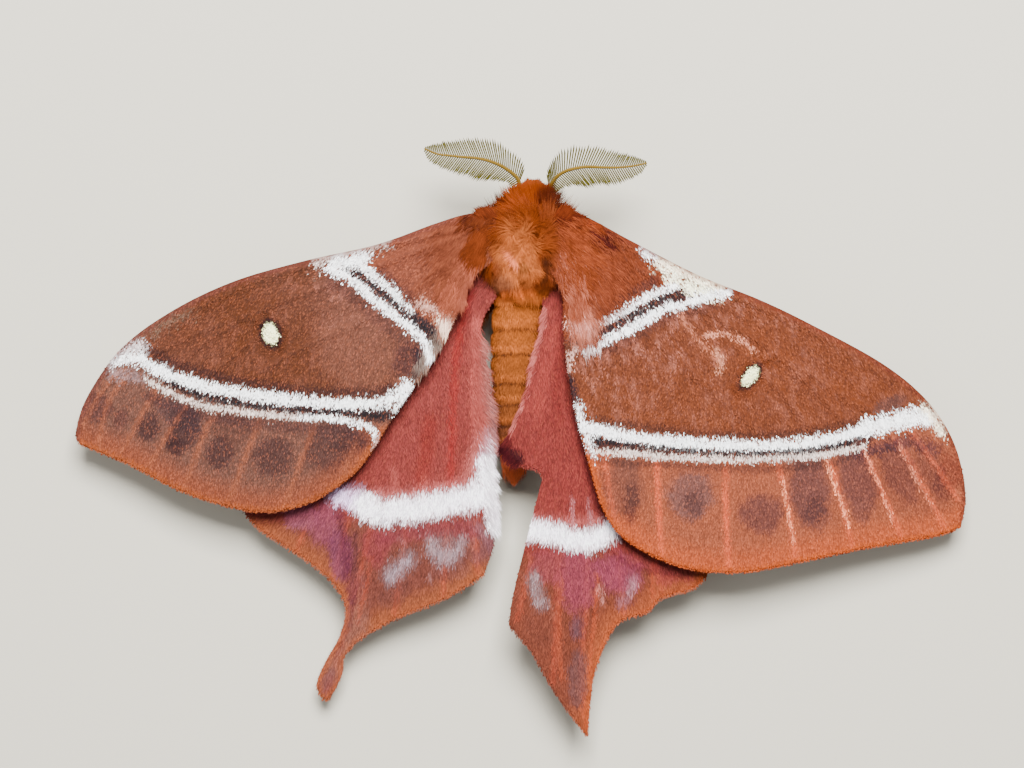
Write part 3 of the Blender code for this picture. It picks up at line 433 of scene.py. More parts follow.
FORE_LEFT_STRIPES = (
    ([(346, 266), (366, 278), (386, 293), (406, 312), (424, 328), (434, 338)], 8, 3, 3, UNDERLAY,
     0.85),
    ([(160, 371), (190, 386), (215, 393.5), (244, 399.5), (274, 403), (305, 406), (330, 407),
     (350, 408), (370, 411), (388, 412)], 8.5, 3, 3, UNDERLAY, 0.85),
    ([(334, 280), (350, 290), (368, 306), (386, 322), (404, 338), (420, 352)], 8, 9, 2, SHADE, 0.5),
    ([(382, 272), (396, 284), (410, 297), (420, 304)], 5, 5, 2, SHADE, 0.65),
    ([(318, 263), (330, 259), (346, 254), (364, 248), (384, 241)], 4.2, 3, 9, DUSTY, 0.8),
    ([(336, 262), (352, 261), (364, 257)], 6.5, 2, 5, WHITE, 0.9),
    ([(330, 268), (340, 272), (356, 282), (370, 295), (388, 309), (402, 321), (416, 331),
     (426, 342), (430, 354)], 4.3, 1.6, 4, WHITE, 1.0),
    ([(360, 264), (372, 273.5), (382, 282), (394, 291), (402, 302), (411, 311)], 3.2, 1.8, 4.5,
     WHITE, 0.85),
    ([(422, 305), (436, 309), (446, 317), (452, 327)], 4.5, 5, 8, (226, 202, 190), 0.75),
    ([(440, 318), (446, 324), (448, 332)], 4, 4, 6, (244, 234, 226), 0.85),
    ([(416, 315), (428, 325), (438, 337)], 4, 4, 3, (78, 66, 72), 0.7),
    ([(349, 269), (362, 276), (374, 286), (390, 299), (406, 313), (418, 322), (430, 331),
     (439, 339)], 2.4, 1.2, 1.6, INK, 0.95),
    ([(360, 276), (374, 287.5), (390, 300.5), (404, 313)], 0.4, 0.9, 1.2, (150, 140, 138), 0.6),
    ([(420, 352), (421, 362), (415, 374)], 4.5, 4, 3, (50, 40, 56), 0.85),
    ([(150, 350), (166, 360), (190, 369), (216, 376), (245, 382), (275, 387), (305, 391),
     (340, 392), (372, 392), (392, 386)], 5, 7, 3, (78, 50, 52), 0.7),
    ([(150, 396), (176, 406), (210, 415), (250, 421), (300, 426), (345, 430), (366, 440)], 6, 9, 3,
     (96, 64, 66), 0.55),
    ([(126, 350), (146, 335), (168, 322), (188, 313)], 3, 9, 9, (166, 148, 130), 0.45),
    ([(112, 358), (126, 352), (140, 346)], 6.5, 7, 9, (232, 228, 228), 0.72),
    ([(114, 362), (126, 358), (142, 358)], 5, 3, 5, WHITE, 0.85),
    ([(112, 372), (124, 374), (140, 377)], 5, 6, 7, (196, 176, 176), 0.55),
    ([(140, 358), (160, 370), (188, 381), (217, 388.6), (251, 394), (286, 399), (323, 402),
     (351, 403), (378, 402), (396, 396), (408, 384)], 5.2, 2.0, 4.5, WHITE, 1.0),
    ([(408, 388), (402, 400), (396, 411)], 3.6, 2.5, 5, WHITE, 0.95),
    ([(146, 378), (170, 392), (194, 402), (215, 407), (244, 411), (274, 414.5), (305, 416.5),
     (331, 417.5), (354, 421), (370, 427), (377, 436), (374, 450)], 2.6, 1.8, 2.6, DUSTY, 0.9),
    ([(300, 416), (331, 417.5), (354, 421), (370, 427), (377, 436), (375, 448)], 2.4, 1.8, 2.6,
     WHITE, 0.9),
    ([(166, 381), (190, 391), (215, 398), (244, 403.5), (280, 407.5), (308, 410), (337, 411),
     (366, 413.5), (384, 417)], 2.4, 1.0, 1.4, INK, 0.92),
    ([(190, 392.5), (215, 399.5), (244, 405), (280, 409), (308, 411.5)], 0.4, 0.9, 1.2,
     (156, 148, 146), 0.55),
)
FORE_RIGHT_STRIPES = (
    ([(690, 291), (663, 300), (645, 309), (621, 321), (603, 331), (588, 337)], 8, 3, 3, UNDERLAY,
     0.85),
    ([(596, 441), (621, 444), (667, 449), (698, 450), (740, 451.5), (776, 451.5), (811, 449),
     (838, 443), (866, 436)], 8.5, 3, 3, UNDERLAY, 0.85),
    ([(712, 302), (690, 309), (666, 316), (645, 327), (622, 340), (604, 350)], 6, 7, 2, SHADE, 0.5),
    ([(655, 281), (640, 288), (622, 298), (606, 309)], 5, 6, 2, SHADE, 0.6),
    ([(644, 253), (658, 262), (668, 270)], 3, 2.5, 6, WHITE, 0.9),
    ([(662, 264), (680, 272), (700, 281), (722, 290)], 6, 3, 8, (244, 238, 230), 0.92),
    ([(672, 278), (690, 287), (712, 293)], 6.5, 3, 8, (246, 240, 232), 0.92),
    ([(728, 293), (712, 294), (696, 299), (680, 305), (664, 308), (652, 315), (636, 324),
     (620, 333), (604, 341), (594, 345)], 4.2, 1.6, 4, WHITE, 1.0),
    ([(588, 343), (585, 349)], 4, 3, 3, WHITE, 0.9),
    ([(586, 341), (574, 350), (569, 358), (568, 370)], 3, 3, 5, (226, 206, 198), 0.8),
    ([(676, 286), (668, 288), (654, 293), (644, 299), (630, 307), (618, 313), (606, 320)], 3.4, 1.8,
     4.5, WHITE, 0.9),
    ([(606, 322), (596, 324), (584, 330), (576, 338)], 4, 5, 8, (214, 184, 172), 0.7),
    ([(592, 304), (584, 316), (578, 330)], 5, 6, 6, (212, 166, 146), 0.5),
    ([(567, 326), (578, 321), (590, 320)], 3, 4, 9, (236, 214, 208), 0.6),
    ([(564, 340), (572, 338), (580, 334)], 1.6, 2.5, 5, (112, 78, 80), 0.65),
    ([(704, 335), (722, 333), (740, 339), (754, 349)], 1.6, 2.5, 3, (236, 204, 182), 0.6),
    ([(678, 312), (690, 328), (706, 348), (716, 360)], 1.8, 3, 4, (226, 180, 150), 0.45),
    ([(716, 350), (722, 362), (718, 372)], 2, 3, 4, (232, 200, 176), 0.5),
    ([(682, 294), (668, 295), (656, 301), (646, 307), (626, 317), (614, 323), (604, 330),
     (592, 336), (578, 342)], 2.3, 1.1, 1.6, INK, 0.95),
    ([(668, 296.5), (656, 302.5), (640, 310.5), (622, 320)], 0.4, 0.9, 1.2, (156, 148, 144), 0.55),
    ([(567, 376), (571, 386), (576, 398)], 4, 4, 3, (44, 36, 54), 0.85),
    ([(600, 421), (640, 426), (690, 432), (744, 435), (800, 433), (846, 425), (880, 416)], 4, 7, 3,
     (88, 56, 48), 0.65),
    ([(600, 459), (640, 462), (690, 465), (744, 467), (800, 466), (846, 458), (890, 448)], 4, 6, 3,
     (92, 62, 58), 0.6),
    ([(577, 404), (583, 424), (589, 440), (594, 456)], 3, 2, 4, WHITE, 0.8),
    ([(583, 425), (604, 431), (627, 435.5), (653, 439.5), (684, 442.5), (713, 444.5), (741, 445),
     (770, 445.5), (799, 444), (821, 440.5), (844, 435.5), (870, 429), (894, 423)], 5.7, 2.0, 4.5,
     WHITE, 1.0),
    ([(858, 452), (884, 446), (910, 441), (934, 447)], 6, 9, 6, (92, 62, 76), 0.7),
    ([(866, 427), (893, 421), (914, 416), (928, 418)], 8.5, 3, 6, WHITE, 0.95),
    ([(926, 408), (936, 420), (941, 432)], 5, 3, 5, (244, 238, 230), 0.85),
    ([(598, 452), (627, 452), (656, 455.5), (684, 457), (713, 458), (747, 458.5), (784, 457),
     (813, 455), (841, 451), (864, 446)], 2.8, 1.8, 3, DUSTY, 0.9),
    ([(596, 440), (627, 443), (656, 447), (690, 449.5), (718, 451.5), (741, 452), (770, 451.5),
     (799, 449.5), (818, 448), (841, 443.5), (858, 438)], 2.3, 1.0, 1.4, INK, 0.92),
    ([(640, 446), (690, 451), (741, 453.5), (790, 451.5), (818, 449.5)], 0.4, 0.9, 1.2,
     (156, 148, 144), 0.55),
    ([(656, 463), (658, 500), (659, 532)], 1.4, 2, 2, (222, 134, 88), 0.6),
    ([(725, 492), (727, 525), (728, 555)], 1.4, 2, 2, (222, 134, 88), 0.5),
    ([(782, 478), (788, 510), (794, 543)], 0.8, 1.4, 1.6, (238, 202, 172), 0.68),
    ([(826, 460), (837, 490), (849, 526)], 1.0, 1.4, 1.6, (240, 206, 176), 0.7),
    ([(864, 449), (878, 482), (893, 521)], 0.9, 1.4, 1.6, (236, 196, 166), 0.66),
    ([(899, 444), (914, 474), (933, 509)], 0.8, 1.4, 1.6, (230, 184, 154), 0.6),
)
print("forewing stripes:", len(FORE_LEFT_STRIPES), len(FORE_RIGHT_STRIPES))

# %% Forewing spots
BLOTCH = (68, 48, 56)
FORE_LEFT_SPOTS = (
    ((366, 350), (62, 44), 30, (172, 122, 102), 0.35),
    ((408, 360), (16, 20), 30, (84, 50, 58), 0.6),
    ((180, 415), (26, 16), 26, (104, 80, 84), 0.55),
    ((232, 428), (22, 18), 10, (110, 70, 60), 0.4),
    ((345, 434), (24, 18), 20, (108, 72, 70), 0.5),
    ((97, 408), (16, 16), 0, (104, 62, 66), 0.5),
    ((121, 418), (8, 12), 20, (112, 66, 64), 0.5),
    ((149, 427), (13, 16), 20, BLOTCH, 0.65),
    ((184, 428), (16, 27), 24, BLOTCH, 0.65),
    ((176, 446), (10, 10), 0, (76, 46, 50), 0.6),
    ((219, 453), (16, 17), 10, BLOTCH, 0.62),
    ((274, 456), (22, 22), 0, BLOTCH, 0.55),
    ((324, 452), (22, 21), -30, BLOTCH, 0.5),
    ((352, 442), (14, 16), 20, (88, 56, 56), 0.5),
)
FORE_RIGHT_SPOTS = (
    ((622, 488), (25, 34), -8, (122, 90, 82), 0.6),
    ((632, 500), (9, 24), 4, BLOTCH, 0.5),
    ((691, 494), (25, 27), 20, (128, 106, 108), 0.62),
    ((694, 502), (12, 14), 0, BLOTCH, 0.4),
    ((762, 513), (23, 22), 0, (96, 72, 80), 0.62),
    ((809, 489), (22, 43), -8, (106, 82, 88), 0.64),
    ((815, 508), (12, 17), 0, BLOTCH, 0.4),
    ((857, 481), (20, 40), -14, (108, 80, 86), 0.62),
    ((900, 471), (18, 37), -18, (110, 74, 76), 0.58),
    ((930, 466), (13, 30), -20, (118, 74, 72), 0.5),
    ((942, 486), (10, 16), -10, (116, 66, 64), 0.5),
    ((905, 490), (62, 27), 12, (140, 78, 62), 0.25),
    ((950, 470), (12, 22), -20, (146, 64, 50), 0.5),
    ((889, 404), (18, 8), -20, (124, 92, 88), 0.6),
    ((600, 238), (17, 8), 35, (104, 40, 34), 0.8),
)
FORE_LEFT_EYESPOT = ((270.5, 333.7), (7.8, 11.0), -14)
FORE_RIGHT_EYESPOT = ((750.5, 376), (5.9, 11.6), 40)
CREAM = (250, 248, 226)
print("forewing spots:", len(FORE_LEFT_SPOTS), len(FORE_RIGHT_SPOTS))

# %% Hindwing markings
ROSE_WHITE = (246, 240, 248)
HIND_LEFT_STRIPES = (
    ([(470, 292), (457, 350), (452, 430), (451, 486)], 3.5, 7, 4, (184, 58, 54), 0.6),
    ([(478, 320), (477, 370), (478, 410), (482, 440)], 6, 8, 4, (208, 128, 118), 0.7),
    ([(484, 340), (484, 380), (488, 410), (492, 435)], 5, 6, 5, (196, 144, 140), 0.6),
    ([(430, 420), (425, 460), (420, 490)], 7, 12, 4, (172, 66, 56), 0.5),
    ([(394, 468), (396, 488)], 3, 8, 5, (206, 132, 122), 0.35),
    ([(426, 474), (425, 496)], 2, 6, 5, (216, 140, 128), 0.3),
    # Painted shade beneath the inner-margin hairs, where they overhang the abdomen.
    ([(486, 405), (494, 425), (496, 440)], 4, 5, 4, (110, 80, 88), 0.55),
    ([(470, 529), (450, 527), (420, 529), (385, 536)], 9, 12, 4, (170, 84, 96), 0.65),
    ([(334, 492), (346, 490), (358, 492)], 5, 13, 10, (226, 214, 226), 0.7),
    ([(343, 496), (358, 502), (370, 508)], 7, 10, 9, (236, 228, 238), 0.9),
    ([(376, 493), (396, 494), (420, 490), (446, 486), (466, 480)], 5, 14, 6, (218, 158, 154), 0.55),
    ([(470, 470), (478, 448), (484, 430)], 5, 14, 6, (218, 160, 154), 0.6),
    ([(366, 505), (380, 512), (396, 509), (415, 507), (440, 503), (464, 498), (482, 492)], 11, 11,
     11, ROSE_WHITE, 1.0),
    ([(405, 495), (408, 503)], 2.5, 6, 5, ROSE_WHITE, 0.8),
    ([(491, 430), (489, 446), (486, 464)], 7, 13, 9, (232, 222, 228), 0.85),
    ([(488, 462), (485, 488)], 9, 10, 10, ROSE_WHITE, 1.0),
    ([(490, 496), (496, 526)], 7, 8, 8, ROSE_WHITE, 0.95),
    ([(478, 524), (488, 541), (496, 549)], 5, 8, 6, (176, 128, 138), 0.6),
    ([(478, 556), (490, 546), (497, 538)], 7, 9, 4, (150, 100, 104), 0.6),
    ([(340, 512), (345, 540), (349, 572), (352, 600)], 4, 8, 4, (128, 58, 78), 0.65),
    ([(356, 532), (356, 566), (355, 596)], 2, 5, 3, (110, 58, 80), 0.5),
    ([(352, 600), (350, 618), (344, 636), (336, 652)], 3, 6, 3, (122, 70, 78), 0.55),
    ([(372, 556), (366, 588), (358, 622)], 1.6, 4, 2, (202, 110, 80), 0.45),
    ([(391, 574), (400, 565), (408, 558)], 10, 10, 8, (168, 140, 142), 0.7),
    ([(392, 573), (400, 565), (407, 559)], 5, 8, 11, (204, 192, 198), 0.5),
    ([(400, 537), (404, 541)], 1.5, 4, 4, (214, 176, 176), 0.4),
    ([(440, 547), (452, 547)], 14, 14, 8, (168, 138, 140), 0.55),
    ([(431, 541), (434, 550), (443, 556), (452, 553)], 5.5, 9, 11, (206, 194, 198), 0.45),
    ([(462, 538), (459, 547)], 4, 8, 9, (202, 186, 190), 0.4),
    ([(428, 573), (431, 580)], 1, 3, 4, (206, 170, 168), 0.4),
    ([(472, 538), (476, 558)], 1.5, 4, 4, (208, 146, 136), 0.4),
)
HIND_LEFT_SPOTS = (
    ((303, 514), (22, 17), 25, (174, 108, 128), 0.8),
    ((326, 522), (16, 26), 0, (172, 98, 120), 0.8),
    ((341, 552), (13, 30), 0, (158, 90, 120), 0.75),
    ((377, 543), (16, 22), 0, (176, 84, 94), 0.55),
    ((450, 568), (22, 12), 0, (150, 102, 98), 0.35),
    ((396, 590), (20, 14), -40, (142, 92, 84), 0.45),
    ((357, 590), (8, 26), 8, (176, 112, 112), 0.35),
    ((330, 680), (9, 15), 20, (140, 96, 108), 0.6),
    ((346, 640), (22, 44), 24, (172, 128, 118), 0.55),
)
HIND_RIGHT_STRIPES = (
    ([(543, 316), (534, 345), (524, 378), (512, 410), (504, 432)], 4, 6, 4, (206, 140, 134), 0.65),
    ([(556, 330), (545, 372), (536, 410)], 7, 12, 4, (192, 100, 90), 0.5),
    ([(560, 350), (556, 390), (560, 420)], 4, 8, 3, (156, 56, 50), 0.35),
    ([(572, 410), (583, 445), (594, 490), (602, 520)], 3, 5, 2, (120, 44, 52), 0.45),
    # Painted shade, dark maroon, in the fold of the anal lobe over the tip of the abdomen.
    ([(498, 444), (508, 450), (519, 457)], 6, 6, 3, (70, 16, 30), 0.9),
    ([(530, 516), (550, 518), (576, 521), (600, 519)], 4, 14, 6, (214, 150, 146), 0.5),
    ([(527, 529), (544, 530), (560, 534), (578, 538), (595, 537), (610, 528)], 9.5, 10, 9,
     ROSE_WHITE, 1.0),
    ([(571, 498), (573, 516), (572, 530)], 1.4, 3.5, 3, (226, 190, 194), 0.5),
    ([(588, 498), (590, 516), (590, 530)], 1.2, 3.5, 3, (216, 174, 178), 0.45),
    ([(562, 578), (560, 608), (559, 648), (562, 678)], 1.6, 4, 2, (206, 118, 78), 0.5),
    ([(597, 572), (596, 602), (592, 638), (588, 678)], 1.8, 4, 2, (208, 116, 72), 0.5),
    ([(653, 558), (652, 578), (654, 596)], 1.6, 4, 2, (208, 114, 72), 0.5),
    ([(533, 576), (536, 588), (542, 603)], 7, 10, 7, (166, 136, 136), 0.75),
    ([(533, 579), (536, 589), (540, 600)], 3.2, 8, 10, (204, 192, 194), 0.5),
    ([(598, 584), (601, 594), (603, 602)], 1.5, 4, 4, (226, 186, 180), 0.5),
    ([(633, 578), (629, 590), (622, 601)], 5, 9, 8, (188, 140, 152), 0.5),
    ([(634, 581), (630, 592)], 1.5, 5, 6, (214, 186, 190), 0.35),
    ([(576, 622), (577, 634)], 3, 6, 4, (142, 112, 122), 0.5),
    ([(552, 604), (554, 618)], 1.2, 4, 3, (218, 166, 146), 0.35),
    ([(636, 556), (662, 566), (688, 572)], 7, 9, 4, (186, 88, 98), 0.5),
    # Painted shadow of the forewing's rear edge, cast on the hindwing below it.
    ([(610, 548), (624, 560), (644, 568), (667, 572), (690, 574)], 2, 5, 1, (110, 34, 42), 0.55),
)
HIND_RIGHT_SPOTS = (
    ((578, 578), (21, 36), 0, (178, 90, 114), 0.75),
    ((548, 564), (20, 18), 0, (182, 94, 108), 0.6),
    ((620, 572), (26, 22), 0, (178, 90, 120), 0.75),
    ((577, 627), (8, 14), 0, (140, 88, 98), 0.6),
    ((578, 676), (10, 36), 3, (130, 100, 104), 0.65),
    ((540, 626), (15, 22), -20, (154, 92, 74), 0.55),
    ((625, 600), (12, 10), 0, (152, 88, 92), 0.4),
    ((666, 578), (10, 8), 0, (184, 88, 86), 0.5),
)
print("hindwing stripes:", len(HIND_LEFT_STRIPES), len(HIND_RIGHT_STRIPES))

# %% [markdown]
# ## Painting a wing
# The ground colour changes across the two main lines, pales to the margin and follows the veins.
# Stripes and spots are laid over it in order, and the left and right wings have tones of their own.

# %% Tones of the ground
FORE_GROUND = {
    "left": {
        "root": (168, 102, 74), "middle": (130, 74, 38), "deep": (158, 113, 100),
        "outer": (148, 106, 90), "edge": (180, 108, 72), "rim": (190, 114, 58),
        "costa": (146, 84, 72), "vein": (188, 124, 88),
    },
    "right": {
        "root": (160, 84, 46), "middle": (156, 88, 48), "deep": (128, 76, 56),
        "outer": (184, 116, 82), "edge": (204, 120, 66), "rim": (200, 112, 40),
        "costa": (150, 74, 50), "vein": (220, 136, 88),
    },
}
HIND_GROUND = {
    "left": {
        "root": (176, 92, 86), "outer": (154, 94, 80), "edge": (184, 118, 78),
        "rim": (196, 122, 76),
    },
    "right": {
        "root": (172, 82, 76), "outer": (158, 92, 70), "edge": (188, 114, 72),
        "rim": (204, 122, 66),
    },
}
FROST = (214, 166, 148)
EYESPOT_RING = (48, 34, 42)
HIND_SHADE = (150, 66, 56)
HIND_VEIN = (212, 118, 84)
print("ground tones:", len(FORE_GROUND["left"]), len(HIND_GROUND["left"]))

# %% [markdown]
# A stripe's edge is made ragged by mottling that runs in streaks, as scales do.
# A spot's edge is only a little uneven.

# %% Stripes and spots
STREAK_SLANT = 0.25
STREAK_SQUASH = 0.2
STREAKS = ((1.3, 1, 0.5), (3.5, 2, 0.35))
PATCHES = (9.0, 3, 0.3)
SPOT_PATCHES = ((4.0, 3, 0.5), (10.0, 4, 0.5))
SPOT_ROUGH = 0.5
SPOT_FADE = (0.65, 1.15)
LINE_STEP = 6.0
DUST = {"fore": 0.4, "hind": 0.16}


def streaked(p):
    """Places squeezed along the lie of the scales, so that mottling comes out in streaks."""
    hand = np.sign(p[:, 0] - VIEW_WIDTH / 2)
    return np.stack([p[:, 0] - hand * STREAK_SLANT * p[:, 1], STREAK_SQUASH * p[:, 1]], 1)


def uneven(p, size, layer, share):
    """Mottling about nought, of one grain size."""
    return (mottle(p, size, layer) - 0.5) * share


def lay_stripes(colours, p, stripes, dust):
    rough = sum(uneven(streaked(p), *rule) for rule in STREAKS) + uneven(p, *PATCHES)
    rough += np.random.default_rng(SEED).normal(0, dust, len(p))
    for line, half, soft, ragged, colour, strength in stripes:
        pts = np.array(line, float)
        reach = half + soft + ragged + 2
        near = np.all((p > pts.min(0) - reach) & (p < pts.max(0) + reach), axis=1)
        if near.any():
            d = nearest(p[near], curve(line, LINE_STEP))[0] + rough[near] * ragged
            share = strength * fade(half - soft * 0.5, half + soft * 0.5, d)
            colours[near] = blend(colours[near], colour, share)
    return colours


def spot_distance(p, centre, radii, tilt):
    """Distance from a spot's centre, where one is its edge."""
    a = math.radians(tilt)
    rel = p - np.array(centre)
    u = (rel[:, 0] * math.cos(a) + rel[:, 1] * math.sin(a)) / radii[0]
    v = (-rel[:, 0] * math.sin(a) + rel[:, 1] * math.cos(a)) / radii[1]
    return np.hypot(u, v)


def lay_spots(colours, p, spots):
    rough = sum(uneven(p, *rule) for rule in SPOT_PATCHES)
    for centre, radii, tilt, colour, strength in spots:
        d = spot_distance(p, centre, radii, tilt) + rough * SPOT_ROUGH
        colours = blend(colours, colour, strength * fade(*SPOT_FADE, d))
    return colours


print("grains in a stripe's edge:", len(STREAKS) + 1)

# %% [markdown]
# Near a margin or a vein a tone has a share and fades with the distance in millimetres.
# Distances from the two main lines are in pixels of the view.

# %% Colours at any place of a wing
DEEP_SHARE, DEEP_REACH = 0.8, 26
DEEP_MOTTLE, DEEP_PATCH = 0.25, 30
FROST_SHARE = {"left": 0.3, "right": 0.6}
FROST_GATE = (0.45, 0.9)
FROST_STREAKS = (0.6, 1.8)
FROST_PATCHES = (0.4, 11)
FROST_NEAR, FROST_FAR, FROST_REACH = 1.1, 0.2, 60
ROOT_SIDE = {"left": -1, "right": 1}
MAIN_STEP = 8.0
MAIN_SOFT = 2
OUTER_SOFT = 20
FORE_EDGE, FORE_RIM, FORE_COSTA = (0.8, 0.8, 4.2), (0.85, 0.25, 0.95), (0.7, 0.25, 0.8)
FORE_VEINS = ((0.45, 0.35), (0.35, 0.22))
RING_FADE = (0.9, 1.2, 1.7)
EYESPOT_FADE = (0.9, 1.02)
EYESPOT_ROUGH = 0.12
HIND_BAND_ROW = {"left": 512, "right": 545}
HIND_BAND_SOFT = 14
HIND_EDGE, HIND_RIM = (0.85, 0.8, 3.4), (0.6, 0.2, 0.9)
HIND_VEINS = (0.35, 0.3)
HIND_MOTTLE, HIND_PATCH = 0.35, 16
VEIN_STEP = 1.5
MARKS = {
    "fore_left": (FORE_LEFT_STRIPES, FORE_LEFT_SPOTS),
    "fore_right": (FORE_RIGHT_STRIPES, FORE_RIGHT_SPOTS),
    "hind_left": (HIND_LEFT_STRIPES, HIND_LEFT_SPOTS),
    "hind_right": (HIND_RIGHT_STRIPES, HIND_RIGHT_SPOTS),
}
MAIN_LINES = {"left": FORE_LEFT_LINES, "right": FORE_RIGHT_LINES}
EYESPOTS = {"left": FORE_LEFT_EYESPOT, "right": FORE_RIGHT_EYESPOT}


def vein_distance(xy, veins):
    """Distance to the nearest vein and the share along it."""
    best = np.full(len(xy), FAR)
    share = np.zeros(len(xy))
    for vein in veins:
        d, s, _ = nearest(xy, curve(vein, VEIN_STEP))
        closer = d < best
        best[closer] = d[closer]
        share[closer] = s[closer]
    return best, share


def by_margin(colours, tone, rule, distance, where=1):
    """Lays a tone beside a margin, with its share and the distances over which it fades."""
    share, low, high = rule
    return blend(colours, tone, share * where * fade(low, high, distance))


def by_vein(colours, tone, rule, distance, where):
    share, width = rule
    return blend(colours, tone, share * where * bell(distance, width))


def fore_colours(side, p, xyz, edge_line, costa_line, veins):
    tone = FORE_GROUND[side]
    stripes, spots = MARKS[f"fore_{side}"]
    inner, _, hand_in = nearest(p, curve(MAIN_LINES[side]["inner"], MAIN_STEP))
    outer, _, hand_out = nearest(p, curve(MAIN_LINES[side]["outer"], MAIN_STEP))
    toward_root = inner * hand_in * ROOT_SIDE[side]
    beyond = outer * hand_out
    colours = np.tile(linear(tone["middle"]), (len(p), 1))
    deep = DEEP_SHARE * np.exp(-inner / DEEP_REACH) + DEEP_MOTTLE * mottle(p, DEEP_PATCH, 5)
    colours = blend(colours, tone["deep"], deep)
    frost = FROST_STREAKS[0] * mottle(streaked(p), FROST_STREAKS[1], 7)
    frost = smooth_step(*FROST_GATE, frost + FROST_PATCHES[0] * mottle(p, FROST_PATCHES[1], 6))
    frost = frost * (FROST_FAR + FROST_NEAR * np.exp(-inner / FROST_REACH))
    colours = blend(colours, FROST, FROST_SHARE[side] * frost)
    colours = blend(colours, tone["root"], smooth_step(-MAIN_SOFT, MAIN_SOFT, toward_root))
    colours = blend(colours, tone["outer"], smooth_step(-MAIN_SOFT, MAIN_SOFT, beyond))
    edge = nearest(xyz[:, :2], edge_line)[0]
    costa = nearest(xyz[:, :2], costa_line)[0]
    vein = vein_distance(xyz[:, :2], veins)[0]
    in_outer = smooth_step(0, OUTER_SOFT, beyond)
    colours = by_margin(colours, tone["edge"], FORE_EDGE, edge, in_outer)
    colours = by_vein(colours, tone["vein"], FORE_VEINS[0], vein, in_outer)
    colours = lay_spots(colours, p, spots)
    colours = by_vein(colours, tone["vein"], FORE_VEINS[1], vein, in_outer)
    colours = lay_stripes(colours, p, stripes, DUST["fore"])
    colours = by_margin(colours, tone["costa"], FORE_COSTA, costa)
    colours = by_margin(colours, tone["rim"], FORE_RIM, edge, in_outer)
    d = spot_distance(p, *EYESPOTS[side])
    colours = by_margin(colours, EYESPOT_RING, RING_FADE, d)
    return blend(colours, CREAM, fade(*EYESPOT_FADE, d + EYESPOT_ROUGH * (mottle(p, 2, 6) - 0.5)))


def hind_colours(side, p, xyz, edge_line, costa_line, veins):
    tone = HIND_GROUND[side]
    stripes, spots = MARKS[f"hind_{side}"]
    row = HIND_BAND_ROW[side]
    below = smooth_step(row, row + HIND_BAND_SOFT, p[:, 1])
    edge = nearest(xyz[:, :2], edge_line)[0]
    vein = vein_distance(xyz[:, :2], veins)[0]
    colours = np.tile(linear(tone["root"]), (len(p), 1))
    colours = blend(colours, tone["outer"], below)
    colours = by_margin(colours, tone["edge"], HIND_EDGE, edge, below)
    colours = blend(colours, HIND_SHADE, HIND_MOTTLE * mottle(p, HIND_PATCH, 5) * (1 - below))
    colours = by_vein(colours, HIND_VEIN, HIND_VEINS, vein, below)
    colours = lay_spots(colours, p, spots)
    colours = lay_stripes(colours, p, stripes, DUST["hind"])
    return by_margin(colours, tone["rim"], HIND_RIM, edge, below)


print("wings with marks:", len(MARKS))

# %% [markdown]
# ## Shader sums
# Nodes could be linked one by one, but the sum they make is then hard to see.
# One small class wraps a socket, so a material's maths reads as a Python expression.
# Its method `node` makes any other node.

# %% Value class
class Value:
    """A shader socket that takes part in Python sums."""

    def __init__(self, tree, socket):
        self.tree = tree
        self.socket = socket

    def node(self, kind, settings=None, output=0, **sockets):
        """New node; a socket is given by its name, or by an underscore and its number."""
        made = self.tree.nodes.new(kind)
        for name, value in (settings or {}).items():
            setattr(made, name, value)
        for name, value in sockets.items():
            spot = made.inputs[int(name[1:]) if name[0] == "_" else name]
            if isinstance(value, Value):
                self.tree.links.new(value.socket, spot)
            else:
                spot.default_value = value
        return Value(self.tree, made.outputs[output])

    def maths(self, operation, first, second):
        return self.node("ShaderNodeMath", {"operation": operation}, _0=first, _1=second)

    def __add__(self, other):
        return self.maths("ADD", self, other)

    def __mul__(self, other):
        return self.maths("MULTIPLY", self, other)

    def __sub__(self, other):
        return self.maths("SUBTRACT", self, other)

    def __rsub__(self, other):
        return self.maths("SUBTRACT", other, self)

    __radd__ = __add__
    __rmul__ = __mul__

    def clamp(self):
        return self.node("ShaderNodeClamp", Value=self)

    def mix(self, kind, other, factor):
        """Mixes this colour with another by the kind of blending named."""
        return self.node("ShaderNodeMix", {"data_type": "RGBA", "blend_type": kind}, 2,
                         _0=factor, _6=self, _7=other)


print("value class ready")

# %% [markdown]
# ## Materials
# Skins, scales, fur and feelers of the moth are all dull, and differ in grain and gloss.
# So one function makes them all. They take their colour from the tint of each vertex.
# A fine grain breaks it and varies the gloss, and on the skins it is raised as well.

# %% Materials
DULL_GLOSS = 0.04
OBJECT_PLACE = 3
GRAIN_DETAIL = 3.0
GRAIN_RELIEF = 0.5
ROUGH_SWING = 0.3


def material(name, roughness, coat=0.0):
    """New Principled material: its shader node and a Value to start sums from."""
    mat = bpy.data.materials.new(name)
    mat.use_nodes = True
    shader = mat.node_tree.nodes["Principled BSDF"]
    shader.inputs["Roughness"].default_value = roughness
    shader.inputs["Specular IOR Level"].default_value = DULL_GLOSS
    shader.inputs["Coat Weight"].default_value = coat
    return mat, shader, Value(mat.node_tree, None)


def plain(shader, colour):
    """Gives a shader one colour all over."""
    shader.inputs["Base Color"].default_value = (*linear(colour), 1)


def feed(shader, socket, value):
    value.tree.links.new(value.socket, shader.inputs[socket])


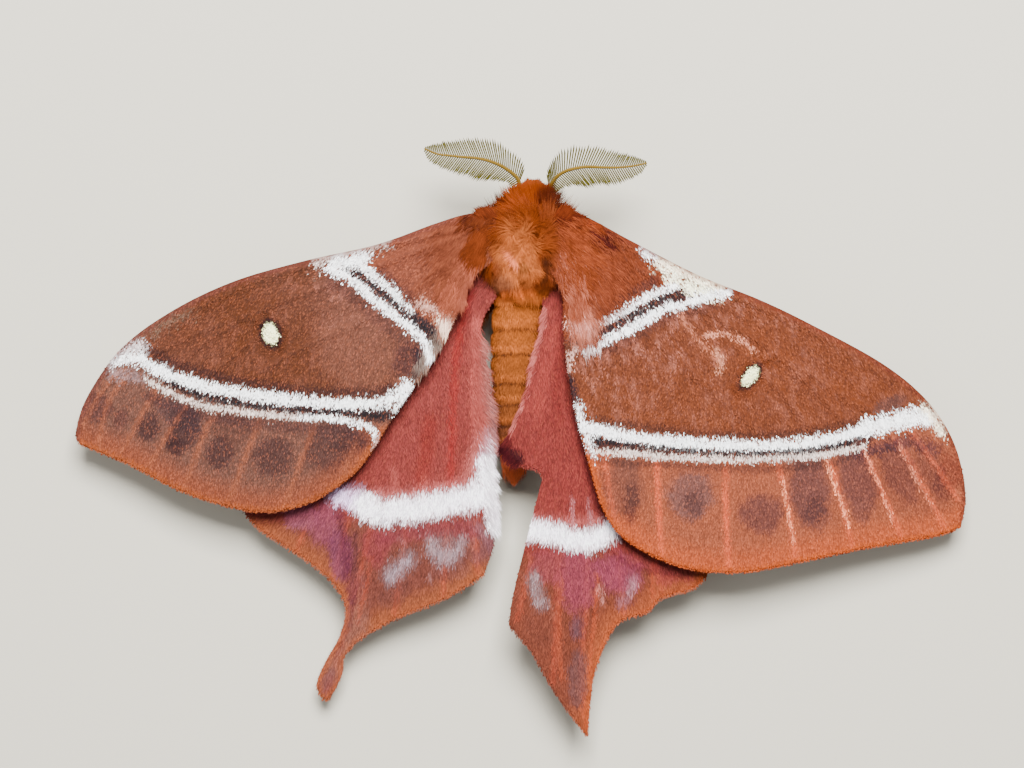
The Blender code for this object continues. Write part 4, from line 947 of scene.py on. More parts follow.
def tinted(name, roughness, grain, swing, relief=0.0):
    """Material coloured by the tint of each vertex, broken by a fine grain that also raises it."""
    mat, shader, at = material(name, roughness)
    tint = at.node("ShaderNodeAttribute", {"attribute_name": "tint"})
    place_at = at.node("ShaderNodeTexCoord", output=OBJECT_PLACE)
    noise = at.node("ShaderNodeTexNoise", Vector=place_at, Scale=grain, Detail=GRAIN_DETAIL)
    light = noise * (2 * swing) + (1 - swing)
    shade = at.node("ShaderNodeCombineColor", Red=light, Green=light, Blue=light)
    feed(shader, "Base Color", tint.mix("MULTIPLY", shade, 1.0))
    feed(shader, "Roughness", (noise * ROUGH_SWING + (roughness - ROUGH_SWING / 2)).clamp())
    if relief:
        bump = at.node("ShaderNodeBump", Height=noise, Strength=GRAIN_RELIEF, Distance=relief)
        feed(shader, "Normal", bump)
    return mat


WING_SKIN = tinted("wing skin", 0.7, 2600.0, 0.2, 0.00005)
WING_SCALE = tinted("wing scales", 0.55, 3000.0, 0.12)
FUR = tinted("fur", 0.6, 1500.0, 0.15)
BODY_SKIN = tinted("body skin", 0.7, 3000.0, 0.3, 0.00006)
FEELER = tinted("feelers", 0.5, 3000.0, 0.15)
print("materials:", len(bpy.data.materials))

# %% [markdown]
# ## Meshes from arrays
# Scales and hairs come in tens of thousands. An object for each would stall Blender,
# so each piece is one mesh filled from arrays.
# Every vertex gets a tint, and every form a place on the map used for baking.

# %% Mesh makers
FLOOR_CLEAR = 0.01
PATCH = 0.0015


def in_scene(name, data):
    """New object with this data, in the scene."""
    obj = bpy.data.objects.new(name, data)
    bpy.context.scene.collection.objects.link(obj)
    return obj


def set_tint(mesh, tint):
    """Stores one linear colour for each vertex."""
    colours = np.ones((len(tint), 4), np.float32)
    colours[:, :3] = np.clip(tint, 0, 1)
    layer = mesh.color_attributes.new("tint", "FLOAT_COLOR", "POINT")
    layer.data.foreach_set("color", colours.ravel())


def mesh_piece(name, verts, tris, uv, tint, mat, smooth=False):
    """One object from points in millimetres, triangles, map places and linear colours."""
    verts = np.array(verts, float)
    verts[:, 2] = np.maximum(verts[:, 2], FLOOR_CLEAR)
    corners = np.asarray(tris, np.int32).ravel()
    mesh = bpy.data.meshes.new(name)
    mesh.vertices.add(len(verts))
    mesh.vertices.foreach_set("co", (verts * MM).astype(np.float32).ravel())
    mesh.loops.add(len(corners))
    mesh.loops.foreach_set("vertex_index", corners)
    mesh.polygons.add(len(tris))
    mesh.polygons.foreach_set("loop_start", np.arange(0, len(corners), 3, dtype=np.int32))
    mesh.update(calc_edges=True)
    layer = mesh.uv_layers.new(name="OFBake")
    layer.uv.foreach_set("vector", uv[corners].astype(np.float32).ravel())
    set_tint(mesh, tint)
    mesh.polygons.foreach_set("use_smooth", np.full(len(tris), smooth))
    mesh.materials.append(mat)
    return in_scene(name, mesh)


def circle(sides):
    """Cosine and sine of even turns round a circle."""
    turns = 2 * np.pi * np.arange(sides) / sides
    return np.stack([np.cos(turns), np.sin(turns)], 1)


def patches(uv, per):
    """A small ring of map places round each given one, for the vertices of a form."""
    return (uv[:, None] + (PATCH * circle(per))[None]).reshape(-1, 2)


def coat_piece(name, arrays, uv, tint, mat, tip_light):
    """Joins many small closed forms into one object, each of one tint that lightens to its tip."""
    verts = np.concatenate([v.reshape(-1, 3) for v, _ in arrays])
    tris, spots, colours = [], [], []
    base = first = 0
    for v, t in arrays:
        count, per = v.shape[:2]
        last = first + count
        tris.append((t[None] + base + np.arange(count)[:, None, None] * per).reshape(-1, 3))
        spots.append(patches(uv[first:last], per))
        glow = np.linspace(1.0, tip_light, per)[None, :, None]
        colours.append((tint[first:last, None] * glow).reshape(-1, 3))
        base += count * per
        first = last
    return mesh_piece(name, verts, *map(np.concatenate, (tris, spots, colours)), mat)


PIECES = []


def place(obj, nodes=()):
    """Rides the body, stands for its nodes and joins the list of pieces."""
    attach(obj, "root")
    if nodes:
        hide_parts(*nodes)
    PIECES.append(obj)
    print(obj.name, "faces:", len(obj.data.polygons))
    return obj


print("mesh makers ready")

# %% [markdown]
# ## Scales and hairs
# Flat cards would do for one view, and Blender's own hair isn't written to a model file.
# Both are small closed forms here, so they have a volume and cast a shadow from every side.
# A scale has a sunk root, two corners and a raised tip. A hair is a bent blade with a waist.

# %% Closed forms
SCALE_CORNER = 0.72
CORNER_RISE = 0.55
SCALE_SINK = 0.03
HAIR_SINK = 0.06
HAIR_ROOT = 0.8
HAIR_DEPTH = 0.6


def unit(v):
    return v / np.maximum(np.linalg.norm(v, axis=1, keepdims=True), 1e-9)


def spread(dice, rule, shape):
    """Even random values: the rule is the least value and how far they go beyond it."""
    return rule[0] + rule[1] * dice.random(shape)


def columns(count, *values):
    """Each value as a column with one row a form."""
    return [np.broadcast_to(v, count)[:, None] for v in values]


def scale_arrays(roots, way, up, length, half_width, rise):
    """Closed four-sided scales: a sunk root, two far corners and a raised tip."""
    across = unit(np.cross(up, way))
    length, half_width, rise = columns(len(roots), length, half_width, rise)
    tip = roots + way * length + up * rise
    corner = roots + way * length * SCALE_CORNER + up * rise * CORNER_RISE
    low, high = corner - across * half_width, corner + across * half_width
    verts = np.stack([roots - up * SCALE_SINK, low, high, tip], 1)
    return verts, np.array([[0, 1, 2], [0, 2, 3], [0, 3, 1], [1, 3, 2]])


def blade_arrays(roots, way, up, length, half_width, bend, waist=0.5):
    """Closed curved hairs: three points at the root, three at the waist and one at the tip."""
    across = unit(np.cross(up, way))
    out = unit(np.cross(way, across))
    length, half_width, bend = columns(len(roots), length, half_width, bend)
    middle = roots + way * length * waist + out * bend * length * 0.5
    sunk = roots - way * length * HAIR_SINK
    ring = []
    for centre, wide in ((sunk, half_width * HAIR_ROOT), (middle, half_width)):
        ring += [centre - across * wide, centre + across * wide, centre + out * wide * HAIR_DEPTH]
    verts = np.stack(ring + [roots + way * length], 1)
    tris = np.array([[0, 2, 1], [0, 1, 4], [0, 4, 3], [1, 2, 5], [1, 5, 4], [2, 0, 3], [2, 3, 5],
                     [3, 4, 6], [4, 5, 6], [5, 3, 6]])
    return verts, tris


print("closed forms ready")

# %% [markdown]
# ## Wing skins
# A real wing is a thin film held out by stiff veins. It could be sculpted, but a height worked
# out for every place keeps skin, scales and hair on one surface.
# Each skin is a thin closed sheet on that surface.
# Veins stand up a little along their lines, and shallow pleats lie between them.

# %% Wing surfaces
SKIN_HALF = 0.1
VEIN_RELIEF = 0.13
VEIN_TAPER = 0.5
VEIN_SOFT = 0.3
PLEAT_DEPTH = 0.03
PLEAT_LENGTH = 2.3
UNDER_BLEND = (206, 158, 138)
UNDER_SHARE = 0.42
MARGIN_STEP = 1.0
MAP_GAP = 0.02
MAP_SIZE = 0.46
WINGS = {
    "forewing_left": ("left", FORE_LEFT_EDGE, FORE_LEFT_VEINS, FORE_LEFT_SHEET, fore_colours),
    "forewing_right": ("right", FORE_RIGHT_EDGE, FORE_RIGHT_VEINS, FORE_RIGHT_SHEET, fore_colours),
    "hindwing_left": ("left", HIND_LEFT_EDGE, HIND_LEFT_VEINS, HIND_LEFT_SHEET, hind_colours),
    "hindwing_right": ("right", HIND_RIGHT_EDGE, HIND_RIGHT_VEINS, HIND_RIGHT_SHEET, hind_colours),
}
LEADING, REAR = 0, 1


def wing_top(wing, xy, hand=1):
    """Height of a wing's upper (hand 1) or under face (hand -1)."""
    _, _, veins, sheet, _ = WINGS[wing]
    d, share = vein_distance(xy, veins)
    relief = VEIN_RELIEF * bell(d, VEIN_SOFT) * (1 - VEIN_TAPER * share)
    pleat = PLEAT_DEPTH * np.cos(2 * np.pi * d / PLEAT_LENGTH)
    return sheet_height(sheet, xy) + pleat + hand * (SKIN_HALF + relief)


def on_wing(wing, xy, hand=1):
    """Points of the plane lifted onto a face of the wing."""
    return np.column_stack([xy, wing_top(wing, xy, hand)])


def wing_colours(wing, xyz, under=False):
    side, stretches, veins, _, painter = WINGS[wing]
    edge = curve(stretches[REAR if painter is fore_colours else LEADING], MARGIN_STEP)
    costa = curve(stretches[LEADING], MARGIN_STEP)
    colours = painter(side, in_view(xyz), xyz, edge, costa, veins)
    return blend(colours, UNDER_BLEND, UNDER_SHARE) if under else colours


def wing_map(wing, xy, under):
    """Map places: the upper face on the left half and the under face on the right."""
    ring = outline(WINGS[wing][1], MARGIN_STEP)
    low = ring.min(0)
    uv = MAP_GAP + MAP_SIZE * (xy - low) / (ring.max(0) - low).max()
    uv[:, 0] += 0.5 * under
    return uv


print("wings:", len(WINGS))

# %% [markdown]
# The sheet is cut from a triangular grid inside the wing's outline.
# Its upper and under faces are joined by a band of triangles round the rim.

# %% Build the wing skins
SKIN_STEP = 0.42
RIM_STEP = 0.5
RIM_GAP = 0.25
ROW_RATIO = 0.866
JOIN_DISTANCE = 1e-5


def grid(low, high, step):
    """Points of a triangular grid over a box."""
    rows = int((high[1] - low[1]) / (step * ROW_RATIO)) + 1
    cells = int((high[0] - low[0]) / step) + 1
    row, column = np.mgrid[0:rows, 0:cells]
    x = low[0] + (column + 0.5 * (row % 2)) * step
    y = low[1] + row * step * ROW_RATIO
    return np.stack([x.ravel(), y.ravel()], 1)


def wing_skin(wing):
    ring = outline(WINGS[wing][1], RIM_STEP)[:-1]
    fill = grid(ring.min(0), ring.max(0), SKIN_STEP)
    fill = fill[within(fill, ring)]
    fill = fill[nearest(fill, np.vstack([ring, ring[:1]]))[0] > RIM_GAP]
    points = [Vector(p) for p in np.vstack([ring, fill])]
    loop = [list(range(len(ring)))]
    flat, _, tris, _, _, _ = delaunay_2d_cdt(points, [], loop, 1, JOIN_DISTANCE)
    xy = np.array([(p.x, p.y) for p in flat])
    tris = np.array(tris)
    count = len(xy)
    pairs = {pair for a, b, c in tris.tolist() for pair in ((a, b), (b, c), (c, a))}
    rim = sorted(pair for pair in pairs if pair[::-1] not in pairs)
    sides = [(b, a, a + count) for a, b in rim] + [(b, a + count, b + count) for a, b in rim]
    top = on_wing(wing, xy)
    return mesh_piece(f"{wing}_skin", np.vstack([top, on_wing(wing, xy, -1)]),
                      np.vstack([tris, tris[:, ::-1] + count, sides]),
                      np.vstack([wing_map(wing, xy, 0), wing_map(wing, xy, 1)]),
                      np.vstack([wing_colours(wing, top), wing_colours(wing, top, True)]),
                      WING_SKIN, True)


for wing in WINGS:
    place(wing_skin(wing), (wing,))

# %% [markdown]
# ## Wing scales
# The colours of a moth are scales, which overlap like tiles. A bump on the skin could hint at
# them, but it would leave every band with a smooth edge.
# Scales lie in rows that fan out from the hinge, each with the colour of the wing beneath it.
# Their ragged rows break the edge of every band. A few scales are painted pale and a few dark: pale
# scales of the wing, the pale ones standing in as painted glints as well.

# %% Lie of the scales
VEIN_PULL = 2.0
FLOW_STEP = 3.0
REAR_TURN = 0.8
SPAN_TURN = 0.3
SLOPE_STEP = 0.2


def wing_flow(wing, xy):
    """Direction in the plane in which scales lie: that of the veins about, turned to the rear."""
    _, _, veins, sheet, painter = WINGS[wing]
    span = sheet[1]
    rear = np.array([span[1], -span[0]]) * math.copysign(1, span[0])
    ways = np.zeros(xy.shape)
    for vein in veins:
        line = curve(vein, FLOW_STEP)
        for a, b in zip(line, line[1:]):
            off = xy - (a + b) / 2
            near = 1 / (np.einsum("ij,ij->i", off, off) + VEIN_PULL) ** 2
            ways += near[:, None] * (b - a)
    toward = REAR_TURN if painter is fore_colours else 0.0
    return unit(unit(ways) + toward * (rear + SPAN_TURN * np.array(span)))


def turned(ways, angle):
    c, s = np.cos(angle), np.sin(angle)
    return np.stack([ways[:, 0] * c - ways[:, 1] * s, ways[:, 0] * s + ways[:, 1] * c], 1)


def flat_way(wing, xy, ways, hand):
    """Lifts plane directions onto the slope of the wing's own sheet."""
    sheet = WINGS[wing][3]
    climb = (sheet_height(sheet, xy + ways * SLOPE_STEP) - sheet_height(sheet, xy)) / SLOPE_STEP
    return unit(np.column_stack([ways, climb])), np.tile([0.0, 0.0, float(hand)], (len(xy), 1))


print("lie at the left hinge:", wing_flow("forewing_left", np.array([HINGE_LEFT])).round(2))

# %% [markdown]
# Scales on top are dense and narrow, and those beneath are fewer, longer and wider.
# Each takes its colour a little way from its root, so bands end in single scales.
# The steps between scales are given for the top and for the underside.

# %% Lay the scales
SCALE_RULES = {
    "fore": {"top": 0.183, "under": 0.4, "length": 0.55, "half_width": 0.08, "rise": 0.1},
    "hind": {"top": 0.18, "under": 0.4, "length": 0.95, "half_width": 0.055, "rise": 0.12},
}
RING_STEP = 0.8
STEP_JITTER = 0.3
SCALE_SWAY = 0.2
LENGTH_SPREAD = 0.35
UNDER_LONGER = 1.3
UNDER_WIDER = 1.7
RISES = (0.6, 0.8)
EDGE_REACH = 0.45
SPOT_SCALE = 0.45
SPOT_REACH = 2.2
SEEN_AT = 0.4
BLUR = 0.16
LIGHT_SPREAD = 0.38
PALE_GRAIN_AND_GLINT = (226, 170, 130)
GRAIN_DARK = (84, 50, 36)
GRAIN = {"fore": 0.16, "hind": 0.07}
GRAIN_FEW = 0.28
SCALE_TIP_LIGHT = 1.05


def wing_scales(wing, hand, word, dice):
    rule = SCALE_RULES[wing[:4]]
    ring = outline(WINGS[wing][1], RING_STEP)
    step = rule[word]
    xy = grid(ring.min(0), ring.max(0), step)
    xy = xy + dice.normal(0, STEP_JITTER * step, xy.shape)
    xy = xy[within(xy, ring)]
    count = len(xy)
    ways = turned(wing_flow(wing, xy), dice.normal(0, SCALE_SWAY, count))
    length = rule["length"] * (1 + LENGTH_SPREAD * (dice.random(count) - 0.5))
    reach = xy + ways * length[:, None]
    if wing[:4] == "fore":
        view = in_view(np.column_stack([xy, sheet_height(WINGS[wing][3], xy)]))
        length[spot_distance(view, *EYESPOTS[WINGS[wing][0]]) < SPOT_REACH] *= SPOT_SCALE
    length[~within(reach, ring)] *= EDGE_REACH
    way, up = flat_way(wing, xy, ways, hand)
    seen = xy + ways * length[:, None] * SEEN_AT + dice.normal(0, BLUR, xy.shape)
    colour = wing_colours(wing, on_wing(wing, seen), hand < 0)
    colour *= (1 + LIGHT_SPREAD * (dice.random((count, 1)) - 0.5) * 2)
    luck = dice.random(count)
    share = GRAIN[wing[:4]]
    # Pale scales, which also stand in as painted glints, and a few dark ones.
    colour = blend(colour, PALE_GRAIN_AND_GLINT, share * smooth_step(1 - GRAIN_FEW, 1.0, luck))
    colour = blend(colour, GRAIN_DARK, share * smooth_step(GRAIN_FEW, 0.0, luck))
    rise = rule["rise"] * spread(dice, RISES, count)
    longer, wider = (1, 1) if hand > 0 else (UNDER_LONGER, UNDER_WIDER)
    wide = rule["half_width"] * wider
    arrays = scale_arrays(on_wing(wing, xy, hand), way, up, length * longer, wide, rise)
    return coat_piece(f"{wing}_{word}_scales", [arrays], wing_map(wing, xy, hand < 0), colour,
                      WING_SCALE, SCALE_TIP_LIGHT)


for wing in WINGS:
    dice = np.random.default_rng(SEED + len(wing) * 7 + ord(wing[-1]))
    for hand, word in ((1, "top"), (-1, "under")):
        place(wing_scales(wing, hand, word, dice))

# %% [markdown]
# ## Hair of the wing edges and bases
# Long hairs lie over the wing bases and along the inner edge of each hindwing.
# They could be scattered evenly, but on the moth they stand in tufts, each with its own lie.
# Each rule gives a line, a count, how far hairs spread from it, least and greatest length,
# the way they lie, a dark and a light tone, and how much of the wing's own colour they keep.

# %% Rules for wing hair
WING_HAIR = {
    "forewing_left": (
        (((-4.4, 25.4), (-5.0, 24.2), (-5.4, 23.2), (-5.2, 22.4)), 1800, 1.1, (1.3, 2.1),
         (-0.45, -0.9), (136, 64, 20), (172, 92, 38), 0.1),
        (((-3.2, 27.0), (-5.0, 27.0), (-6.6, 26.4)), 1700, 1.1, (0.9, 1.7), (-0.6, -0.6),
         (98, 38, 18), (154, 82, 40), 0.1),
        (((-2.9, 27.2), (-3.5, 27.0), (-4.1, 26.7)), 1700, 0.6, (1.2, 2.0), (-0.62, 0.6),
         (120, 52, 20), (170, 88, 38), 0.1),
        (((-4.4, 26.6), (-5.2, 26.2), (-5.9, 25.6)), 900, 0.6, (0.6, 1.2), (-0.8, 0.3),
         (130, 62, 28), (172, 92, 48), 0.2),
        (((-6.2, 19.8), (-6.8, 18.2), (-7.6, 16.4)), 900, 0.7, (0.9, 1.7), (0.1, -1.0),
         (176, 108, 84), (208, 146, 120), 0.35),
        (((-6.0, 26.4), (-8.0, 25.0), (-8.6, 21.8), (-7.6, 18.6)), 2500, 2.6, (0.8, 1.5),
         (-0.6, -0.8), (150, 86, 58), (188, 124, 90), 0.5),
        (((-6.4, 21.6), (-7.6, 18.8), (-9.0, 15.8)), 1800, 1.6, (0.8, 1.5), (-0.3, -0.95),
         (176, 110, 82), (214, 150, 120), 0.3),
        (((-8.6, 14.8), (-10.4, 11.6), (-12.6, 8.2)), 900, 0.8, (0.8, 1.5), (-0.15, -1.0),
         (190, 150, 130), (244, 236, 230), 0.85),
    ),
    "forewing_right": (
        (((3.8, 27.2), (5.2, 27.2), (6.4, 26.8)), 1300, 1.0, (0.9, 1.7), (0.75, -0.4), (92, 30, 18),
         (142, 62, 30), 0.1),
        (((3.9, 27.1), (4.6, 27.0), (5.3, 26.8)), 1500, 0.6, (1.0, 1.8), (0.6, 0.6), (116, 48, 20),
         (166, 82, 36), 0.1),
        (((5.6, 26.8), (6.4, 26.6), (7.2, 26.2)), 800, 0.6, (0.6, 1.1), (0.75, 0.3), (128, 56, 26),
         (170, 86, 44), 0.2),
        (((6.0, 26.8), (7.4, 26.4), (8.8, 25.8)), 900, 0.9, (0.9, 1.7), (0.7, -0.55), (146, 68, 30),
         (186, 100, 50), 0.1),
        (((7.6, 25.6), (8.8, 24.8), (10.2, 24.0)), 2000, 1.0, (0.8, 1.5), (0.75, -0.5),
         (84, 30, 28), (132, 58, 46), 0.1),
        (((5.4, 26.6), (6.6, 25.2), (7.2, 22.6), (6.6, 19.6)), 2300, 2.2, (1.2, 2.2), (0.7, -0.7),
         (160, 84, 38), (198, 122, 78), 0.1),
        (((7.6, 25.2), (10.0, 22.4), (10.2, 19.0), (8.6, 15.8)), 2500, 3.0, (0.9, 1.6), (0.6, -0.8),
         (158, 86, 52), (198, 128, 92), 0.3),
        (((6.3, 21.8), (6.8, 18.2), (7.2, 14.6), (8.2, 11.6)), 2000, 1.6, (1.0, 1.9), (0.25, -0.95),
         (186, 112, 82), (224, 176, 152), 0.45),
    ),
    "hindwing_left": (
        (((-5.6, 13.0), (-5.2, 9.0), (-4.8, 4.0), (-4.4, -0.5)), 1500, 1.1, (0.9, 1.7),
         (0.35, -1.0), (184, 104, 96), (208, 142, 132), 0.4),
        (((-5.0, 12.4), (-4.5, 8.0), (-4.0, 3.0), (-3.7, -1.0)), 2200, 0.6, (1.2, 2.1),
         (0.75, -0.8), (176, 112, 104), (214, 166, 156), 0.1),
        (((-4.1, 6.4), (-3.9, 3.4), (-3.6, 0.6)), 900, 0.5, (1.1, 1.9), (0.7, -0.85), (118, 82, 86),
         (178, 142, 142), 0.1),
        (((-3.7, 0.6), (-3.6, -2.6), (-3.4, -6.0), (-3.2, -11.0)), 1800, 0.9, (1.0, 1.8),
         (0.55, -0.85), (190, 160, 164), (246, 242, 248), 0.5),
    ),
    "hindwing_right": (
        (((2.9, 16.0), (2.0, 12.0), (1.2, 9.0), (0.0, 5.0), (-1.2, 1.6)), 1900, 0.5, (0.7, 1.4),
         (-0.6, -0.9), (190, 112, 104), (222, 168, 160), 0.3),
        # Dark maroon hairs that carry the painted shade of the anal fold.
        (((-0.4, -3.2), (-1.8, -1.6), (-1.6, 0.2)), 600, 0.8, (0.9, 1.5), (-0.6, -0.8),
         (66, 14, 26), (120, 44, 50), 0.35),
    ),
}
print("rules for wing hair:", {wing: len(rules) for wing, rules in WING_HAIR.items()})

# %% [markdown]
# A short fringe stands along the outer margins.
# The longer hairs grow in soft clumps about their lines.

# %% Fringes and wing hair
FRINGE_STEP = 0.07
FRINGE_LENGTH = 0.21
FRINGE_SUNK = 0.3
FRINGE_HALF_WIDTH = 0.032
FRINGE_SWAY = 0.08
FRINGE_JITTER = 0.05
FRINGE_OUT, FRINGE_FLOW = 0.8, 0.5
FRINGE_INSET = 0.35
FRINGE_BEND = 0.05
FRINGE_SIZES = (0.85, 0.3)
FRINGE_LIGHT = (0.88, 0.24)
INSIDE_TEST = 0.6
HAIR_STEP = 0.1
HAIR_HALF_WIDTH = 0.035
HAIR_CLUMP = 0.9
HAIR_CLUMP_TURN = 0.6
HAIR_SWAY = 0.1
HAIR_LIFT = (0.06, 0.16)
HAIR_TONES = 0.2
HAIR_TONE_CLUMP = 0.9
HAIR_LIGHT = (0.8, 0.4)
HAIR_BEND = 0.12
HAIR_TIP_LIGHT = 1.15


def fringe(wing, dice):
    """Short hairs that leave the outer margin at right angles."""
    stretches = WINGS[wing][1]
    margins = (REAR,) if wing[:4] == "fore" else (LEADING, REAR)
    line = np.vstack([curve(stretches[k], FRINGE_STEP) for k in margins])
    ahead = unit(np.roll(line, -1, axis=0) - np.roll(line, 1, axis=0))[1:-1]
    line = line[1:-1] + dice.normal(0, FRINGE_JITTER, (len(line) - 2, 2))
    out = np.stack([-ahead[:, 1], ahead[:, 0]], 1)
    out[within(line + INSIDE_TEST * out, outline(stretches, RING_STEP))] *= -1
    out = turned(out, dice.normal(0, FRINGE_SWAY, len(line)))
    ways = unit(out * FRINGE_OUT + wing_flow(wing, line) * FRINGE_FLOW)
    way, up = flat_way(wing, line, ways, 1)
    xy = line - FRINGE_INSET * ways
    roots = np.column_stack([xy, wing_top(wing, xy) - SKIN_HALF])
    length = FRINGE_LENGTH * spread(dice, FRINGE_SIZES, len(xy)) + FRINGE_SUNK
    colour = wing_colours(wing, roots) * spread(dice, FRINGE_LIGHT, (len(xy), 1))
    arrays = blade_arrays(roots, way, up, length, FRINGE_HALF_WIDTH, FRINGE_BEND)
    return arrays, wing_map(wing, xy, 0), colour


def wing_hair(wing, rule, dice):
    """Hairs rooted about a line on the wing, lying one way, in soft clumps."""
    line, count, reach, lengths, lie, dark, light, keep = rule
    path = curve(line, HAIR_STEP)
    at = path[dice.integers(0, len(path), count)] + dice.normal(0, reach / 2, (count, 2))
    at = at[within(at, outline(WINGS[wing][1], RING_STEP))]
    count = len(at)
    clump = mottle(at, HAIR_CLUMP, 0)
    ways = turned(np.tile(unit(np.array([lie])), (count, 1)), (clump - 0.5) * HAIR_CLUMP_TURN)
    ways = turned(ways, dice.normal(0, HAIR_SWAY, count))
    way, up = flat_way(wing, at, ways, 1)
    way = unit(way + up * spread(dice, HAIR_LIFT, count)[:, None])
    roots = on_wing(wing, at)
    length = spread(dice, (lengths[0], lengths[1] - lengths[0]), count)
    share = np.clip(clump * HAIR_TONE_CLUMP + dice.normal(0, HAIR_TONES, count), 0, 1)
    colour = linear(dark) + (linear(light) - linear(dark)) * share[:, None]
    colour += (wing_colours(wing, roots) - colour) * keep
    colour *= spread(dice, HAIR_LIGHT, (count, 1))
    arrays = blade_arrays(roots, way, up, length, HAIR_HALF_WIDTH, HAIR_BEND)
    return arrays, wing_map(wing, at, 0), colour


for wing in WINGS:
    dice = np.random.default_rng(SEED + 40 + len(wing) + ord(wing[-1]))
    made = [fringe(wing, dice)] + [wing_hair(wing, rule, dice) for rule in WING_HAIR[wing]]
    arrays, uv, tint = zip(*made)
    place(coat_piece(f"{wing}_hair", arrays, np.vstack(uv), np.vstack(tint), FUR, HAIR_TIP_LIGHT))

# %% [markdown]
# ## Body skin
# Under its coat the moth is a case of many hard parts. They could stay apart, but the joints
# would show through the fur.
# The thorax, head, abdomen, legs and palps become one closed skin.
# Its forms are ellipsoids and tubes, a coat's depth smaller than the solids.

# %% Forms of the body
COAT_DEPTH = 0.15
NECK_CENTRE = (1.0, 27.5, 7.6)
NECK_SIZE = (3.5, 2.4, 2.4)
PALP_SLIM = 0.7
LEG_THINNER = 0.12
LEG_STEP = 0.4
ABDOMEN_STEPS = 90
ABDOMEN_SIDES = 32
ABDOMEN_BULGE = 0.12
END_STEPS = 6
END_TAPER = (0.95, 0.35)


def add_ellipsoid(bm, centre, size, across=24, rings=16):
    matrix = Matrix.Translation(Vector(centre) * MM) @ Matrix.Diagonal([s * MM for s in size] + [1])
    bmesh.ops.create_uvsphere(bm, u_segments=across, v_segments=rings, radius=1, matrix=matrix)


def add_rings(bm, rings):
    """Closed tube through rings of points in millimetres."""
    loops = [[bm.verts.new(Vector(p) * MM) for p in ring] for ring in rings]
    for a, b in zip(loops, loops[1:]):
        for k in range(len(a)):
            n = (k + 1) % len(a)
            bm.faces.new((a[k], a[n], b[n], b[k]))
    bm.faces.new(loops[0][::-1])
    bm.faces.new(loops[-1])


def tube_rings(line, radii, sides=10):
    """Rings about a line of points, with one radius each."""
    ahead = unit(np.gradient(line, axis=0))
    across = unit(np.cross(ahead, [0, 0, 1.0]))
    up = np.cross(across, ahead)
    turns = circle(sides)[None]
    ring = turns[..., :1] * across[:, None] + turns[..., 1:] * up[:, None]
    return line[:, None] + np.asarray(radii)[:, None, None] * ring


def along(line):
    """Share of a line's length at each of its points."""
    walked = np.concatenate([[0], np.cumsum(np.linalg.norm(np.diff(line, axis=0), axis=1))])
    return walked / walked[-1]


def leg_rings(name, side):
    path = np.array(LEG_PATHS[name])
    path[:, 0] = LEG_MIRROR_X + side * (LEG_MIRROR_X - path[:, 0])
    line = curve(path, LEG_STEP)
    return tube_rings(line, np.interp(along(line), along(path), np.array(LEG_RADII)) - LEG_THINNER)


def abdomen_rings():
    """Rings of the abdomen with soft grooves between its segments."""
    axis = np.array(ABDOMEN_AXIS)
    y = np.linspace(axis[0, 1], axis[-1, 1], ABDOMEN_STEPS)
    order = np.argsort(axis[:, 1])
    x, z, wide = (np.interp(y, axis[order, 1], v[order])
                  for v in (axis[:, 0], axis[:, 2], np.array(ABDOMEN_HALF_WIDTH)))
    for ring in ABDOMEN_RINGS:
        wide = wide - RING_DEPTH * bell(y - ring, RING_HALF_WIDTH)
    wide = wide - COAT_DEPTH
    wide[-END_STEPS:] *= np.linspace(*END_TAPER, END_STEPS)
    c, s = circle(ABDOMEN_SIDES).T
    flat = np.stack([c, ABDOMEN_BULGE * ABDOMEN_FLATTEN * s, ABDOMEN_FLATTEN * s], 1)
    return np.stack([x, y, z], 1)[:, None] + wide[:, None, None] * flat[None]


def head_place(offset, side):
    """A place given by its offset from the head's centre, on one side."""
    return np.array(HEAD_CENTRE) + np.array([side * offset[0], offset[1], offset[2]])


print("rings of the abdomen:", len(abdomen_rings()))

# %% [markdown]
# The forms are fused at a fine grain and smoothed, so no seam shows between them.

# %% Fuse the body
SKIN_GRAIN = 0.2
SMOOTH_ROUNDS = 3


def body_skin():
    bm = bmesh.new()
    add_ellipsoid(bm, THORAX_CENTRE, [s - COAT_DEPTH for s in THORAX_CORE])
    add_ellipsoid(bm, HEAD_CENTRE, [s - COAT_DEPTH for s in HEAD_SIZE])
    add_ellipsoid(bm, NECK_CENTRE, NECK_SIZE)
    add_rings(bm, abdomen_rings())
    for side in (-1, 1):
        add_ellipsoid(bm, head_place(PALP_OFFSET, side), [PALP_SLIM * s for s in PALP_SIZE], 12, 8)
        for name in LEG_PATHS:
            add_rings(bm, leg_rings(name, side))
    bmesh.ops.recalc_face_normals(bm, faces=bm.faces)
    mesh = bpy.data.meshes.new("body_skin")
    bm.to_mesh(mesh)
    bm.free()
    obj = in_scene("body_skin", mesh)
    fuse = obj.modifiers.new("fuse", "REMESH")
    fuse.mode = "VOXEL"
    fuse.voxel_size = SKIN_GRAIN * MM
    obj.modifiers.new("smooth", "SMOOTH").iterations = SMOOTH_ROUNDS
    done = bpy.data.meshes.new_from_object(obj.evaluated_get(bpy.context.evaluated_depsgraph_get()))
    obj.modifiers.clear()
    obj.data = done
    done.name = "body_skin"
    for v in done.vertices:
        v.co.z = max(v.co.z, FLOOR_CLEAR * MM)
    return obj


body = body_skin()
print("body skin faces:", len(body.data.polygons))
